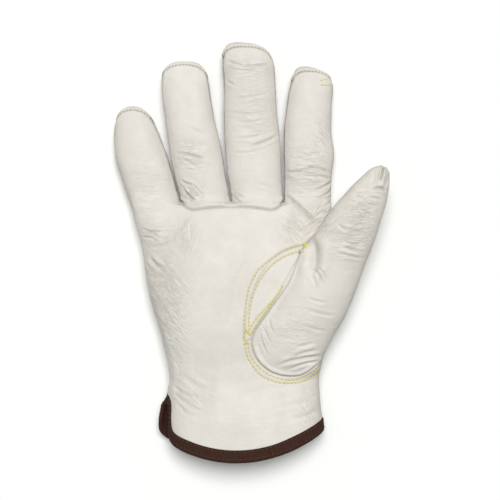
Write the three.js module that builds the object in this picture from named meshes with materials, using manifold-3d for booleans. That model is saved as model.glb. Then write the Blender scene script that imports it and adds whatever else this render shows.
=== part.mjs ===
// A cream leather driver's glove for the right hand, lying on its back with the palm up.
// Millimetres. +X runs towards the thumb side, +Y towards the fingertips and +Z up, out of the palm.
// The hollow hand is a set of limbs: the hand's body, four fingers and the thumb. Each limb is a loft of
// sections that stand across Y. The leather is the space between the outer limbs and the same limbs
// drawn in by one wall. Cutters then part it into the panels that a glover would sew together.
import * as THREE from "three";
import { mergeVertices } from "three/addons/utils/BufferGeometryUtils.js";
import Module from "manifold-3d";

const wasm = await Module();
wasm.setup();

// Driving dimensions
const WALL = 1.6; // leather with its brushed inside
const SEAM_GAP = 0.3; // free space between two panels at a seam
const TAPE = 1.2; // how far the folded binding tape stands off the leather
const TAPE_WIDTH = 6.6; // how far the tape reaches up from the hem
const FLOOR = 0; // the leather is pressed flat where it rests
const FAR = 200; // past every edge of the glove

const OUTER_SIDES = { body: 36, finger: 18, thumb: 18 }; // corners of a section's outer face
const INNER_SIDES = { body: 22, finger: 10, thumb: 10 }; // corners of its inner face

// Hem: a shallow curve, lowest in the middle of the cuff and rising to both sides
const HEM = { middleX: -8, lowest: -127, rise: 17.4, halfWidth: 53 };

// Vent: the slit in the cuff on the little finger's side, which opens towards the hem
const VENT = { apexY: -88, z: 13.4, openAtHem: 3.4, tapeWidth: 5 };

// Shirring: the elastic under the back draws the wrist into ridges
const SHIRR = { y: -71, reach: 30, depth: 1.8, fromX: -42, toX: 36 };

// Sections of the hand's body, from the hem to the roots of the fingers. Above the vent the palm's
// edge lies further in than the back's, and side is the height at which a section is widest.
const BODY = [
  { y: -130, left: -54.2, palmLeft: -48, right: 45.4, bottom: 1.7, top: 33, side: 13.4 },
  { y: -105, left: -54.6, palmLeft: -48.4, right: 44.9, bottom: 1.7, top: 32.5, side: 13.4 },
  { y: -96, left: -53.6, palmLeft: -48.6, right: 43.8, bottom: 2, top: 31.4, side: 13.4 },
  { y: -86, left: -49.6, palmLeft: -49.2, right: 42.9, bottom: 3, top: 29.4, side: 13.4 },
  { y: -76, left: -47.6, palmLeft: -47.6, right: 42.4, bottom: 4.2, top: 28, side: 13.4 },
  { y: -68, left: -48.6, palmLeft: -48.6, right: 42.9, bottom: 3.8, top: 28, side: 13.4 },
  { y: -57, left: -51.6, palmLeft: -51.6, right: 43.6, bottom: 1.4, top: 29, side: 13.4 },
  { y: -45, left: -54.6, palmLeft: -54.6, right: 44.4, bottom: -0.8, top: 30, side: 13.4 },
  { y: -28, left: -59.6, palmLeft: -59.6, right: 45.6, bottom: -0.8, top: 30, side: 13.4 },
  { y: -12, left: -62.6, palmLeft: -62.6, right: 46.8, bottom: -0.8, top: 29, side: 13.4 },
  { y: 3, left: -63.4, palmLeft: -63.4, right: 48, bottom: -0.8, top: 27, side: 13 },
  { y: 12, left: -65.6, palmLeft: -65.6, right: 49, bottom: 0, top: 25, side: 13 },
  { y: 20, left: -67.4, palmLeft: -67.4, right: 49, bottom: 5, top: 22.4, side: 13.5 },
  { y: 28, left: -68.4, palmLeft: -68.4, right: 48, bottom: 10.5, top: 19.6, side: 15 },
];

// Sections of each finger, from inside the hand to the tip
const FINGERS = {
  little: [
    { y: 8, left: -64.2, right: -37, bottom: -0.8, top: 22 },
    { y: 25, left: -70.2, right: -39.6, bottom: -0.8, top: 20 },
    { y: 36, left: -74.3, right: -43, bottom: -0.8, top: 18.4 },
    { y: 48, left: -78, right: -47, bottom: -0.8, top: 18.8 },
    { y: 59, left: -81.4, right: -50.3, bottom: -0.8, top: 18.2 },
    { y: 71, left: -82.2, right: -54.7, bottom: -0.6, top: 17.8 },
    { y: 77, left: -81.5, right: -57.2, bottom: 0.6, top: 17.2 },
    { y: 82.6, left: -79.6, right: -60.8, bottom: 2.4, top: 16.2 },
    { y: 86, left: -77, right: -64, bottom: 4.4, top: 14.6 },
    { y: 88, left: -73.6, right: -67.6, bottom: 6.6, top: 12.4 },
  ],
  ring: [
    { y: 8, left: -36.6, right: -10.5, bottom: -0.8, top: 22 },
    { y: 25, left: -40, right: -10.8, bottom: -0.8, top: 20.4 },
    { y: 36, left: -43, right: -12, bottom: -0.8, top: 18.8 },
    { y: 48, left: -45.6, right: -14.2, bottom: -0.8, top: 19.2 },
    { y: 64, left: -48.6, right: -17.4, bottom: -0.8, top: 18.6 },
    { y: 82, left: -50.8, right: -21.8, bottom: -0.8, top: 18.2 },
    { y: 98, left: -53, right: -24.4, bottom: -0.4, top: 17.8 },
    { y: 106, left: -52.5, right: -25.8, bottom: 1.4, top: 17.2 },
    { y: 111.6, left: -50.3, right: -28.8, bottom: 3.6, top: 15.8 },
    { y: 115.2, left: -45.4, right: -34, bottom: 6.4, top: 13 },
  ],
  middle: [
    { y: 8, left: -9.7, right: 19.4, bottom: -0.8, top: 22 },
    { y: 25, left: -10.2, right: 20.6, bottom: -0.8, top: 20.6 },
    { y: 36, left: -11.4, right: 20.4, bottom: -0.8, top: 18.9 },
    { y: 48, left: -13.2, right: 20.2, bottom: -0.8, top: 19.4 },
    { y: 64, left: -14.4, right: 19, bottom: -0.8, top: 18.8 },
    { y: 82, left: -14.9, right: 16.8, bottom: -0.8, top: 18.4 },
    { y: 104, left: -15, right: 15.8, bottom: -0.6, top: 18 },
    { y: 114, left: -15.8, right: 15, bottom: 1, top: 17.4 },
    { y: 121, left: -15, right: 11.6, bottom: 3, top: 16 },
    { y: 125, left: -12, right: 7, bottom: 5, top: 14.2 },
    { y: 127, left: -7.6, right: 2, bottom: 7, top: 12.2 },
  ],
  index: [
    { y: 8, left: 20.4, right: 48.3, bottom: -0.8, top: 22 },
    { y: 25, left: 21.4, right: 49.6, bottom: -0.8, top: 20.2 },
    { y: 36, left: 21, right: 49.8, bottom: -0.8, top: 18.6 },
    { y: 48, left: 20.2, right: 50.4, bottom: -0.8, top: 19.2 },
    { y: 60, left: 20, right: 51.6, bottom: -0.8, top: 18.8 },
    { y: 74, left: 20.6, right: 49.8, bottom: -0.8, top: 18.4 },
    { y: 90, left: 22.2, right: 50.2, bottom: -0.4, top: 17.8 },
    { y: 100, left: 23.6, right: 50.2, bottom: 1, top: 17.2 },
    { y: 106, left: 25.2, right: 48.6, bottom: 3, top: 16 },
    { y: 110, left: 27.4, right: 43.4, bottom: 5, top: 14.2 },
    { y: 112, left: 30.4, right: 37.4, bottom: 7, top: 12.2 },
  ],
};

// Sections of the thumb, from the heel of the hand to the tip. It rises clear of the index finger.
const THUMB = [
  { y: -76, left: 17, right: 38, bottom: 12, top: 25 },
  { y: -71, left: 11, right: 41.6, bottom: 8.4, top: 29 },
  { y: -63, left: 4.4, right: 44.2, bottom: 6, top: 32 },
  { y: -51, left: 2.6, right: 50.4, bottom: 5, top: 34.6 },
  { y: -38, left: 9, right: 58, bottom: 6, top: 36.4 },
  { y: -24, left: 18.4, right: 63.4, bottom: 8.6, top: 37 },
  { y: -10, left: 26.6, right: 68.2, bottom: 11.4, top: 37 },
  { y: 6, left: 35.6, right: 74.4, bottom: 17, top: 38 },
  { y: 18, left: 43.6, right: 77.8, bottom: 20, top: 39.4 },
  { y: 30, left: 52.8, right: 81.4, bottom: 22, top: 39.6 },
  { y: 40, left: 62, right: 82.8, bottom: 23.8, top: 38.6 },
  { y: 46.4, left: 68.4, right: 83, bottom: 25.4, top: 37 },
  { y: 49.6, left: 72.4, right: 81.6, bottom: 27.6, top: 34.8 },
  { y: 51, left: 75.4, right: 79.4, bottom: 29.6, top: 32.6 },
];

// Seam heights along a finger, by distance from its tip: the fourchette lies between back and front
const FINGER_SEAMS = [
  { fromTip: 140, back: 3.4, front: 9.6 },
  { fromTip: 34, back: 3.4, front: 9.6 },
  { fromTip: 16, back: 5.2, front: 10.4 },
  { fromTip: 6, back: 11, front: 11.6 },
  { fromTip: -4, back: 13, front: 13.6 },
];
const LITTLE_SIDE_SEAM = { hand: 13.4, finger: 8.4 }; // seam heights on the little finger's side
const INDEX_SIDE_SEAM = 3.2; // seam height beside the index finger
const WEB_START = 8; // y where the fourchettes begin, under the webs
const FRONT_FLOOR = 9; // the front pieces lie above this height

// The long seam on the back, where the palm's leather has come round the thumb's side
const LONG_SEAM = [
  { y: -FAR, x: 36.4 },
  { y: -108, x: 36.4 },
  { y: -86, x: 34 },
  { y: -72, x: 33 },
  { y: -60, x: 35 },
  { y: -37, x: 39.4 },
  { y: -14, x: 43 },
  { y: 12, x: 46 },
];
const THUMB_WRAP = { fromY: -52, toY: 4, inset: 2.4, top: 8 }; // where the thumb piece comes round

// The seam round the ball of the thumb, as seen from above
const THUMB_SEAM = [
  { x: 41, y: 9 },
  { x: 35.4, y: 5 },
  { x: 32.2, y: -0.3 },
  { x: 27.6, y: -9.4 },
  { x: 22.6, y: -19 },
  { x: 15, y: -29.4 },
  { x: 7.6, y: -39.8 },
  { x: 2, y: -48.2 },
  { x: 1, y: -56 },
  { x: 4.6, y: -65 },
  { x: 12.4, y: -72 },
  { x: 22.8, y: -75 },
  { x: 32.6, y: -73.6 },
  { x: 42, y: -67 },
];
const GUSSET_ARC = { start: [34.1, 4.6], bulge: [0.6, 0.4], end: [-3.2, -52.7] };
const TWO_FINGER_SEAM = { leftX: -40.4, rightX: 21.2, y: 24.8, corner: 5, rise: 2 };

const FINGER_ORDER = ["little", "ring", "middle", "index"];
const GAPS = [
  ["little", "ring"],
  ["ring", "middle"],
  ["middle", "index"],
];

// Interpolates one column of a table at y
function at(rows, y, column) {
  const last = rows.length - 1;
  if (y <= rows[0].y) return rows[0][column];
  if (y >= rows[last].y) return rows[last][column];
  const next = rows.findIndex((row) => row.y > y);
  const [a, b] = [rows[next - 1], rows[next]];
  return a[column] + ((b[column] - a[column]) * (y - a.y)) / (b.y - a.y);
}

// Turns a geometry into a solid with merged corners
function solid(geometry) {
  const bare = new THREE.BufferGeometry();
  const source = geometry.index ? geometry.toNonIndexed() : geometry;
  bare.setAttribute("position", source.getAttribute("position"));
  const merged = mergeVertices(bare, 1e-3);
  return new wasm.Manifold(
    new wasm.Mesh({
      numProp: 3,
      vertProperties: merged.attributes.position.array,
      triVerts: new Uint32Array(merged.index.array),
    }),
  );
}

// Skins rings of equal point counts, each { y, points: [[x, z], ...] }, into one closed solid
function skin(rings) {
  const count = rings[0].points.length;
  const positions = [];
  const faces = [];
  for (const ring of rings) {
    for (const [x, z] of ring.points) positions.push(x, ring.y, z);
  }
  for (let r = 0; r + 1 < rings.length; r++) {
    for (let k = 0; k < count; k++) {
      const a = r * count + k;
      const b = r * count + ((k + 1) % count);
      faces.push(a, a + count, b, b, a + count, b + count);
    }
  }
  const cap = (ring, base, facesBack) => {
    const centre = positions.length / 3;
    const sum = ring.points.reduce(([x, z], p) => [x + p[0], z + p[1]], [0, 0]);
    positions.push(sum[0] / count, ring.y, sum[1] / count);
    for (let k = 0; k < count; k++) {
      const [a, b] = [base + k, base + ((k + 1) % count)];
      faces.push(...(facesBack ? [centre, a, b] : [centre, b, a]));
    }
  };
  cap(rings[0], 0, true);
  cap(rings[rings.length - 1], (rings.length - 1) * count, false);
  const geometry = new THREE.BufferGeometry();
  geometry.setAttribute("position", new THREE.Float32BufferAttribute(positions, 3));
  geometry.setIndex(faces);
  return solid(geometry);
}

// Height by which the elastic lifts the back of the wrist at every second corner of a section
function shirring(x, y, corner) {
  if (x < SHIRR.fromX || x > SHIRR.toX) return 0;
  const fade = Math.max(0, 1 - Math.abs(y - SHIRR.y) / SHIRR.reach);
  return (corner % 2) * SHIRR.depth * fade;
}

// One limb: superelliptic sections grown or drawn in by an offset, and pressed flat on the floor
function limb(rows, { sides, grow = 0, above = 2.3, below = 2.7, shirred = false }) {
  const rings = rows.map((row, r) => {
    const y = row.y + (r === rows.length - 1 ? grow : 0);
    const low = row.bottom - grow;
    const high = row.top + grow;
    const side = row.side ?? low + (high - low) * 0.56;
    const points = [];
    for (let k = 0; k < sides; k++) {
      const turn = (2 * Math.PI * (k + 0.5)) / sides;
      const [c, s] = [Math.cos(turn), Math.sin(turn)];
      const left = (s > 0 ? row.palmLeft ?? row.left : row.left) - grow;
      const right = row.right + grow;
      const power = 2 / (s > 0 ? above : below);
      const x = (left + right) / 2 + ((right - left) / 2) * Math.sign(c) * Math.abs(c) ** power;
      const reach = s > 0 ? high - side : side - low;
      const lift = shirred && s < 0 ? shirring(x, row.y, k) : 0;
      const z = side + reach * Math.sign(s) * Math.abs(s) ** power + lift;
      points.push([x, Math.max(z, FLOOR - grow)]);
    }
    return { y, points };
  });
  return skin(rings);
}

// A cutter with a rectangular section that changes along y
function block(rows, grow = 0) {
  const rings = rows.map((row, r) => {
    const end = r === 0 ? -grow : r === rows.length - 1 ? grow : 0;
    const [left, right] = [row.left - grow, row.right + grow];
    const [low, high] = [row.bottom - grow, row.top + grow];
    const points = [
      [right, high],
      [left, high],
      [left, low],
      [right, low],
    ];
    return { y: row.y + end, points };
  });
  return skin(rings);
}

// A prism that stands on a closed outline in the XY plane, whose sides are moved out by an offset
function prism(outline, low, high, grow = 0) {
  const turn = THREE.ShapeUtils.area(outline) > 0 ? 1 : -1;
  const count = outline.length;
  const moved = outline.map((point, k) => {
    const before = outline[(k + count - 1) % count];
    const after = outline[(k + 1) % count];
    const [a, b] = [point.clone().sub(before).normalize(), after.clone().sub(point).normalize()];
    const normal = new THREE.Vector2(a.y + b.y, -a.x - b.x).multiplyScalar(turn).normalize();
    const miter = grow / Math.max(0.5, Math.sqrt((1 + a.dot(b)) / 2));
    return point.clone().addScaledVector(normal, miter);
  });
  const geometry = new THREE.ExtrudeGeometry(new THREE.Shape(moved), {
    depth: high - low,
    bevelEnabled: false,
  });
  geometry.translate(0, 0, low);
  return solid(geometry);
}

const join = (solids) => solids.reduce((a, b) => a.add(b));

// The limbs at an offset from the leather's outer face
const bodyLimb = (grow, sides = OUTER_SIDES.body) =>
  limb(BODY, { sides, grow, above: 2.7, below: 3, shirred: sides === OUTER_SIDES.body });
const fingerLimb = (name, grow, sides = OUTER_SIDES.finger) => limb(FINGERS[name], { sides, grow });
const thumbLimb = (grow, sides = OUTER_SIDES.thumb) =>
  limb(THUMB, { sides, grow, above: 2.2, below: 2.2 });

// The whole hand, outside or drawn in to the wall's inner face
function hand(grow, sides) {
  const fingers = FINGER_ORDER.map((name) => fingerLimb(name, grow, sides.finger));
  return join([bodyLimb(grow, sides.body), ...fingers, thumbLimb(grow, sides.thumb)]);
}

const hemY = (x) => HEM.lowest + HEM.rise * ((x - HEM.middleX) / HEM.halfWidth) ** 2;

// Everything below the hem curve raised by an offset
function belowHem(raise) {
  const steps = 10;
  const [from, to] = [HEM.middleX - HEM.halfWidth * 1.2, HEM.middleX + HEM.halfWidth * 1.2];
  const outline = [new THREE.Vector2(-FAR, -FAR), new THREE.Vector2(FAR, -FAR)];
  for (let k = steps; k >= 0; k--) {
    const x = from + ((to - from) * k) / steps;
    const outer = k === steps ? FAR : k === 0 ? -FAR : x;
    outline.push(new THREE.Vector2(outer, hemY(x) + raise));
  }
  return prism(outline, -FAR, FAR);
}

// The vent's wedge on the little finger's side, widened by an offset
function ventWedge(grow) {
  const side = (y, open) => ({
    y,
    left: -FAR,
    right: HEM.middleX - 30,
    bottom: VENT.z - open - grow,
    top: VENT.z + open + grow,
  });
  return block([
    side(-FAR, VENT.openAtHem),
    side(HEM.lowest, VENT.openAtHem),
    side(VENT.apexY - 14, VENT.openAtHem * 0.5),
    side(VENT.apexY + grow, 0.2),
  ]);
}

const tipOf = (finger) => FINGERS[finger][FINGERS[finger].length - 1].y;
const centreX = (finger, y) => (at(FINGERS[finger], y, "left") + at(FINGERS[finger], y, "right")) / 2;
const gapX = (a, b, y) => (at(FINGERS[a], y, "right") + at(FINGERS[b], y, "left")) / 2;

// Seam height beside a finger at y: "back" or "front"
function seamHeight(finger, y, seam) {
  const table = FINGER_SEAMS.map((row) => ({ ...row, y: tipOf(finger) - row.fromTip }));
  return at(table, y, seam);
}

// Half of a finger, from just past its centre line to the middle of the gap beside it, or beyond it
function fingerHalf(finger, neighbour, from, to, heights, grow) {
  const overlap = 1;
  const order = FINGER_ORDER.indexOf(finger);
  const onRight = neighbour ? FINGER_ORDER.indexOf(neighbour) > order : finger === "index";
  const tip = tipOf(finger);
  const stations = [from, 26, tip - 34, tip - 16, tip - 6, tip + 4].filter((y) => y <= to);
  const rows = stations.map((y) => {
    const inner = centreX(finger, y);
    const beyond = onRight ? FAR : -FAR;
    const outer = neighbour ? gapX(...(onRight ? [finger, neighbour] : [neighbour, finger]), y) : beyond;
    const left = onRight ? inner - overlap : outer - overlap / 2;
    const right = onRight ? outer + overlap / 2 : inner + overlap;
    return { y, left, right, ...heights(y) };
  });
  return block(rows, grow);
}

// The fourchette's cutter for one gap: the side walls of both fingers and the web between them
function fourchetteCutter([a, b], grow = 0) {
  const halves = [
    [a, b],
    [b, a],
  ].map(([finger, neighbour]) => {
    const heights = (y) => ({
      bottom: seamHeight(finger, y, "back"),
      top: seamHeight(finger, y, "front"),
    });
    return fingerHalf(finger, neighbour, WEB_START, tipOf(finger) - 6, heights, grow);
  });
  return join(halves);
}

// The back's cutter: everything under the seams, as far as the long seam on the thumb's side
function backCutter(grow = 0) {
  const low = -20;
  const { hand: handSeam, finger: fingerSeam } = LITTLE_SIDE_SEAM;
  const handPart = block(
    LONG_SEAM.map(({ y, x }) => ({ y, left: -FAR, right: x, bottom: low, top: handSeam })),
    grow,
  );
  const halves = GAPS.flatMap(([a, b]) => [
    [a, b],
    [b, a],
  ]).map(([finger, neighbour]) => {
    const heights = (y) => ({ bottom: low, top: seamHeight(finger, y, "back") });
    return fingerHalf(finger, neighbour, 4, FAR, heights, grow);
  });
  const outerSeam = (finger, y, along) => {
    const nearTip = y > tipOf(finger) - 20;
    return { bottom: low, top: nearTip ? seamHeight(finger, y, "back") : along };
  };
  const outer = [
    fingerHalf("little", null, 11, FAR, (y) => outerSeam("little", y, fingerSeam), grow),
    fingerHalf("index", null, 11, FAR, (y) => outerSeam("index", y, INDEX_SIDE_SEAM), grow),
  ];
  return join([handPart, ...halves, ...outer]);
}

// The thumb's cutter: the free thumb, the ball of the thumb and its wrap round the hand's edge
function thumbCutter(grow = 0) {
  const seam = new THREE.SplineCurve(THUMB_SEAM.map(({ x, y }) => new THREE.Vector2(x, y)));
  const ball = seam.getPoints(THUMB_SEAM.length * 2);
  ball.push(new THREE.Vector2(FAR, ball[ball.length - 1].y), new THREE.Vector2(FAR, ball[0].y));
  const { fromY, toY, inset, top } = THUMB_WRAP;
  const wrap = [
    new THREE.Vector2(FAR, toY),
    new THREE.Vector2(at(LONG_SEAM, toY, "x") + inset, toY),
    new THREE.Vector2(at(LONG_SEAM, fromY, "x") + inset, fromY),
    new THREE.Vector2(FAR, fromY),
  ];
  const free = thumbLimb(0.2 + grow);
  return join([prism(ball, top - grow, FAR, grow), prism(wrap, -FAR, top + 1, grow), free]);
}

// The lens-shaped gusset between the palm and the thumb
function gussetCutter(grow = 0) {
  const { start, bulge, end } = GUSSET_ARC;
  const shape = new THREE.Shape();
  shape.moveTo(...start);
  shape.quadraticCurveTo(...bulge, ...end);
  shape.lineTo(end[0] + 8, end[1]);
  shape.lineTo(start[0] + 4, start[1]);
  return prism(shape.getPoints(12).slice(0, -1), FRONT_FLOOR * 2, FAR, grow);
}

// The cutter of the piece that fronts the ring and middle fingers
function twoFingerCutter(grow = 0) {
  const { leftX, rightX, y, corner, rise } = TWO_FINGER_SEAM;
  const shape = new THREE.Shape();
  shape.moveTo(leftX, y + corner);
  shape.quadraticCurveTo(leftX, y, leftX + corner, y);
  shape.quadraticCurveTo((leftX + rightX) / 2, y + rise * 2, rightX - corner, y);
  shape.quadraticCurveTo(rightX, y, rightX, y + corner);
  for (const sideY of [48, 80, FAR]) shape.lineTo(gapX("middle", "index", sideY), sideY);
  for (const sideY of [FAR, 80, 48]) shape.lineTo(gapX("little", "ring", sideY), sideY);
  return prism(shape.getPoints(6), FRONT_FLOOR, FAR, grow);
}

// The leather: the hand less its hollow, its vent and what lies below the hem
const hollow = hand(-WALL, INNER_SIDES);
const wall = hand(0, OUTER_SIDES).subtract(hollow);
const leather = wall.subtract(belowHem(TAPE + SEAM_GAP)).subtract(ventWedge(TAPE + SEAM_GAP));

const spacedFourchettes = join(GAPS.map((gap) => fourchetteCutter(gap, SEAM_GAP)));
const thumb = leather.intersect(thumbCutter());
const gusset = leather.intersect(gussetCutter()).subtract(thumbCutter(SEAM_GAP));
const fourchettes = GAPS.map((gap) => leather.intersect(fourchetteCutter(gap)));
const back = leather
  .intersect(backCutter())
  .subtract(thumbCutter(SEAM_GAP))
  .subtract(spacedFourchettes);
const twoFingerFront = leather
  .intersect(twoFingerCutter())
  .subtract(spacedFourchettes)
  .subtract(backCutter(SEAM_GAP));
const palm = leather
  .subtract(thumbCutter(SEAM_GAP))
  .subtract(gussetCutter(SEAM_GAP))
  .subtract(spacedFourchettes)
  .subtract(twoFingerCutter(SEAM_GAP))
  .subtract(backCutter(SEAM_GAP));

// The binding: tape folded over the hem and over both edges of the vent
const tapeBand = bodyLimb(TAPE).subtract(bodyLimb(-WALL - TAPE, INNER_SIDES.body));
const tapeSlot = bodyLimb(SEAM_GAP).subtract(bodyLimb(-WALL - SEAM_GAP, INNER_SIDES.body));
const binding = tapeBand
  .intersect(belowHem(TAPE_WIDTH).add(ventWedge(VENT.tapeWidth)))
  .subtract(belowHem(0))
  .subtract(ventWedge(0))
  .subtract(tapeSlot.subtract(belowHem(TAPE)).subtract(ventWedge(TAPE)));

const CREAM = { color: 0xe6e3da, roughness: 0.62, metalness: 0 };
const BROWN = { color: 0x3a221c, roughness: 0.8, metalness: 0 };
const group = new THREE.Group();

// Adds the largest body of a cut piece as a mesh, without the slivers that a cutter leaves beside it
function add(name, cut, look) {
  const bodies = cut.decompose();
  const mesh = bodies.reduce((a, b) => (b.volume() > a.volume() ? b : a)).getMesh();
  const geometry = new THREE.BufferGeometry();
  geometry.setAttribute("position", new THREE.BufferAttribute(mesh.vertProperties, 3));
  geometry.setIndex(new THREE.BufferAttribute(mesh.triVerts, 1));
  geometry.computeVertexNormals();
  const node = new THREE.Mesh(geometry, new THREE.MeshStandardMaterial(look));
  node.name = name;
  group.add(node);
}

add("palm_panel", palm, CREAM);
add("back_panel", back, CREAM);
add("middle_ring_front", twoFingerFront, CREAM);
fourchettes.forEach((fourchette, k) => add(`fourchette_${GAPS[k].join("_")}`, fourchette, CREAM));
add("thumb", thumb, CREAM);
add("thumb_gusset", gusset, CREAM);
add("cuff_binding", binding, BROWN);

// The frame's origin lies under the middle of the object's box
const box = new THREE.Box3().setFromObject(group);
const middle = box.getCenter(new THREE.Vector3());
group.position.set(-middle.x, -middle.y, -box.min.z);

export default group;
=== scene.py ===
# %% [markdown]
# # A cream leather driver's glove
#
# The glove is for the right hand and lies on its back, palm up, as lined work gloves do when they are
# put down: the fingers stay round and full, the thumb rises over the palm, and the elastic inside the
# back draws the wrist in. The pieces are the palm leather, the back, the front of the two middle
# fingers, three fourchettes between the fingers, the thumb, the patch beside it, the brown tape on the
# cuff and the threads. The frame holds their plain solids in metres. Here each gets its real surface.

import math

import bmesh
import bpy
import numpy as np
import openvdb
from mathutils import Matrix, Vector, noise
from mathutils.bvhtree import BVHTree
from mathutils.kdtree import KDTree


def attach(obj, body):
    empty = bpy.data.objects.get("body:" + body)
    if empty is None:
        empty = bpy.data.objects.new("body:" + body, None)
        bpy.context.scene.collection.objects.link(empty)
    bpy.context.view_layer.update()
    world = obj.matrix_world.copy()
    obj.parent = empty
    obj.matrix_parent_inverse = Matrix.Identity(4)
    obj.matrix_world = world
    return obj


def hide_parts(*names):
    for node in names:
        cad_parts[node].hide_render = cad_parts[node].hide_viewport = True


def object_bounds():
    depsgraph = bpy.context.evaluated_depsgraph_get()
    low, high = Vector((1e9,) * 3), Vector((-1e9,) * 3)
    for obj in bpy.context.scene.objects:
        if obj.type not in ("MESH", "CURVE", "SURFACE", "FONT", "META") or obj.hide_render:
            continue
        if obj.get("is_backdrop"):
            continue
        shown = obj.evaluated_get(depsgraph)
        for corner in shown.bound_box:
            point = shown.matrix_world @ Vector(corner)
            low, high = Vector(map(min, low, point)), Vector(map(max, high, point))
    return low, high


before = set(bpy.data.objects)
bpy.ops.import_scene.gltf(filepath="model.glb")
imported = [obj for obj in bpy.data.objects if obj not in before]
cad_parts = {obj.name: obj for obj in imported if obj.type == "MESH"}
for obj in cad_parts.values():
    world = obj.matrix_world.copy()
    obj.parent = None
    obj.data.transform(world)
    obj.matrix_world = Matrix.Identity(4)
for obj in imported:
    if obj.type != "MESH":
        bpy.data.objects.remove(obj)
bpy.context.view_layer.update()

# %% [markdown]
# ## Sizes
#
# The glover's pattern is laid out in millimetres, so the tables below are too: x runs to the thumb's
# side, y to the fingertips and z up out of the palm. Each limb is a row of sections across y. The
# frame's origin lies under the middle of the box, so everything is moved by half of what the widest
# rows differ by.

# %% Driving sizes
MM = 0.001
CELL = 0.7  # edge of a cell of the distance field, and so of a quad of leather
FINE_FROM = (67.0, 29.0)  # the thumb's tip is pinched finely, so its cells are halved
LEATHER = 1.3  # wall of a panel
TAPE_WIDTH = 6.6  # reach of the tape up the outside
TAPE_INSIDE = 7.4  # its reach up the inside
VENT_FACING = 14.0  # its wider reach inside the vent, which shows through the slit
TAPE_STAND = 0.55  # how far the tape's face stands off the leather
HEM = {"middle": -8.0, "lowest": -124.2, "rise": 17.4, "half_width": 53.0}
VENT = {"apex_y": -91.5, "z": 13.4, "slit": 0.9, "open": 3.2, "corner": 9.0}


def table(columns, rows):
    """Names the columns of a short table."""
    return {name: np.array(values, float) for name, values in zip(columns.split(), zip(*rows))}


# %% Sections of the hand and the fingers
BODY = table("y left palm_left right bottom top side", [
    (-134, -54.2, -48.0, 45.4, 1.7, 33.0, 13.4),
    (-105, -54.6, -48.4, 44.9, 1.7, 32.5, 13.4),
    (-96, -53.6, -48.6, 43.8, 2.0, 31.4, 13.4),
    (-86, -49.6, -49.2, 42.9, 3.0, 29.4, 13.4),
    (-76, -47.6, -47.6, 42.4, 4.2, 28.0, 13.4),
    (-68, -48.6, -48.6, 42.9, 3.8, 28.0, 13.4),
    (-57, -51.6, -51.6, 43.6, 1.4, 29.0, 13.4),
    (-45, -54.6, -54.6, 44.4, -0.8, 30.0, 13.4),
    (-28, -59.6, -59.6, 45.6, -0.8, 30.0, 13.4),
    (-12, -62.6, -62.6, 46.8, -0.8, 29.0, 13.4),
    (3, -63.4, -63.4, 48.0, -0.8, 27.0, 13.0),
    (12, -65.6, -65.6, 49.0, 0.0, 25.0, 13.0),
    (20, -67.4, -67.4, 49.0, 4.0, 22.4, 13.5),
    (28, -68.4, -68.4, 48.0, 9.0, 19.6, 15.0),
])
FINGERS = {
    "little": table("y left right bottom top", [
        (-14, -59.4, -34.0, 2.0, 20.0),
        (8, -64.2, -37.0, -0.8, 22.0),
        (25, -70.2, -40.6, -0.8, 20.0),
        (36, -74.3, -43.8, -0.8, 18.4),
        (48, -78.0, -47.0, -0.8, 18.8),
        (59, -81.4, -50.3, -0.8, 18.2),
        (71, -82.2, -54.7, -0.6, 17.8),
        (77, -81.5, -57.2, 0.6, 17.2),
        (82.6, -80.2, -60.2, 2.4, 16.2),
        (86.4, -77.8, -63.6, 4.4, 14.6),
        (88.2, -74.8, -67.0, 6.6, 12.6),
        (88.9, -72.4, -69.8, 8.4, 10.6),
    ]),
    "ring": table("y left right bottom top", [
        (8, -36.6, -10.5, -0.8, 22.0),
        (25, -39.2, -11.2, -0.8, 20.4),
        (36, -42.3, -12.6, -0.8, 18.8),
        (48, -45.6, -14.9, -0.8, 19.2),
        (64, -48.6, -17.4, -0.8, 18.6),
        (82, -50.8, -21.8, -0.8, 18.2),
        (98, -53.0, -24.2, -0.4, 17.8),
        (106, -52.9, -24.9, 1.4, 17.2),
        (111.6, -51.0, -27.4, 3.6, 15.8),
        (114.8, -47.6, -30.6, 6.0, 13.6),
        (116.1, -43.4, -34.6, 8.4, 10.6),
    ]),
    "middle": table("y left right bottom top", [
        (8, -9.7, 19.4, -0.8, 22.0),
        (25, -9.8, 20.2, -0.8, 20.6),
        (36, -10.9, 19.8, -0.8, 18.9),
        (48, -12.8, 19.4, -0.8, 19.4),
        (64, -14.2, 18.6, -0.8, 18.8),
        (82, -14.9, 16.8, -0.8, 18.4),
        (104, -15.0, 15.8, -0.6, 18.0),
        (114, -16.0, 15.6, 1.0, 17.4),
        (120, -16.0, 13.0, 2.6, 16.2),
        (124.4, -14.4, 8.6, 4.8, 14.6),
        (126.8, -11.8, 2.0, 7.0, 12.2),
        (127.5, -9.4, -3.0, 8.4, 10.6),
    ]),
    "index": table("y left right bottom top", [
        (-14, 18.0, 43.6, 2.0, 20.0),
        (8, 20.4, 48.3, -0.8, 22.0),
        (25, 21.8, 49.6, -0.8, 20.2),
        (36, 21.8, 49.8, -0.8, 18.6),
        (48, 21.7, 50.4, -0.8, 19.2),
        (60, 21.8, 51.6, -0.8, 18.8),
        (74, 22.0, 49.8, -0.8, 18.4),
        (90, 23.5, 50.2, -0.4, 17.8),
        (100, 24.9, 50.8, 1.0, 17.2),
        (106, 26.1, 49.4, 2.8, 16.0),
        (110, 27.4, 44.8, 5.0, 14.2),
        (112.4, 29.2, 39.4, 7.2, 12.2),
        (113.2, 31.2, 35.4, 8.4, 10.6),
    ]),
}
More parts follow.
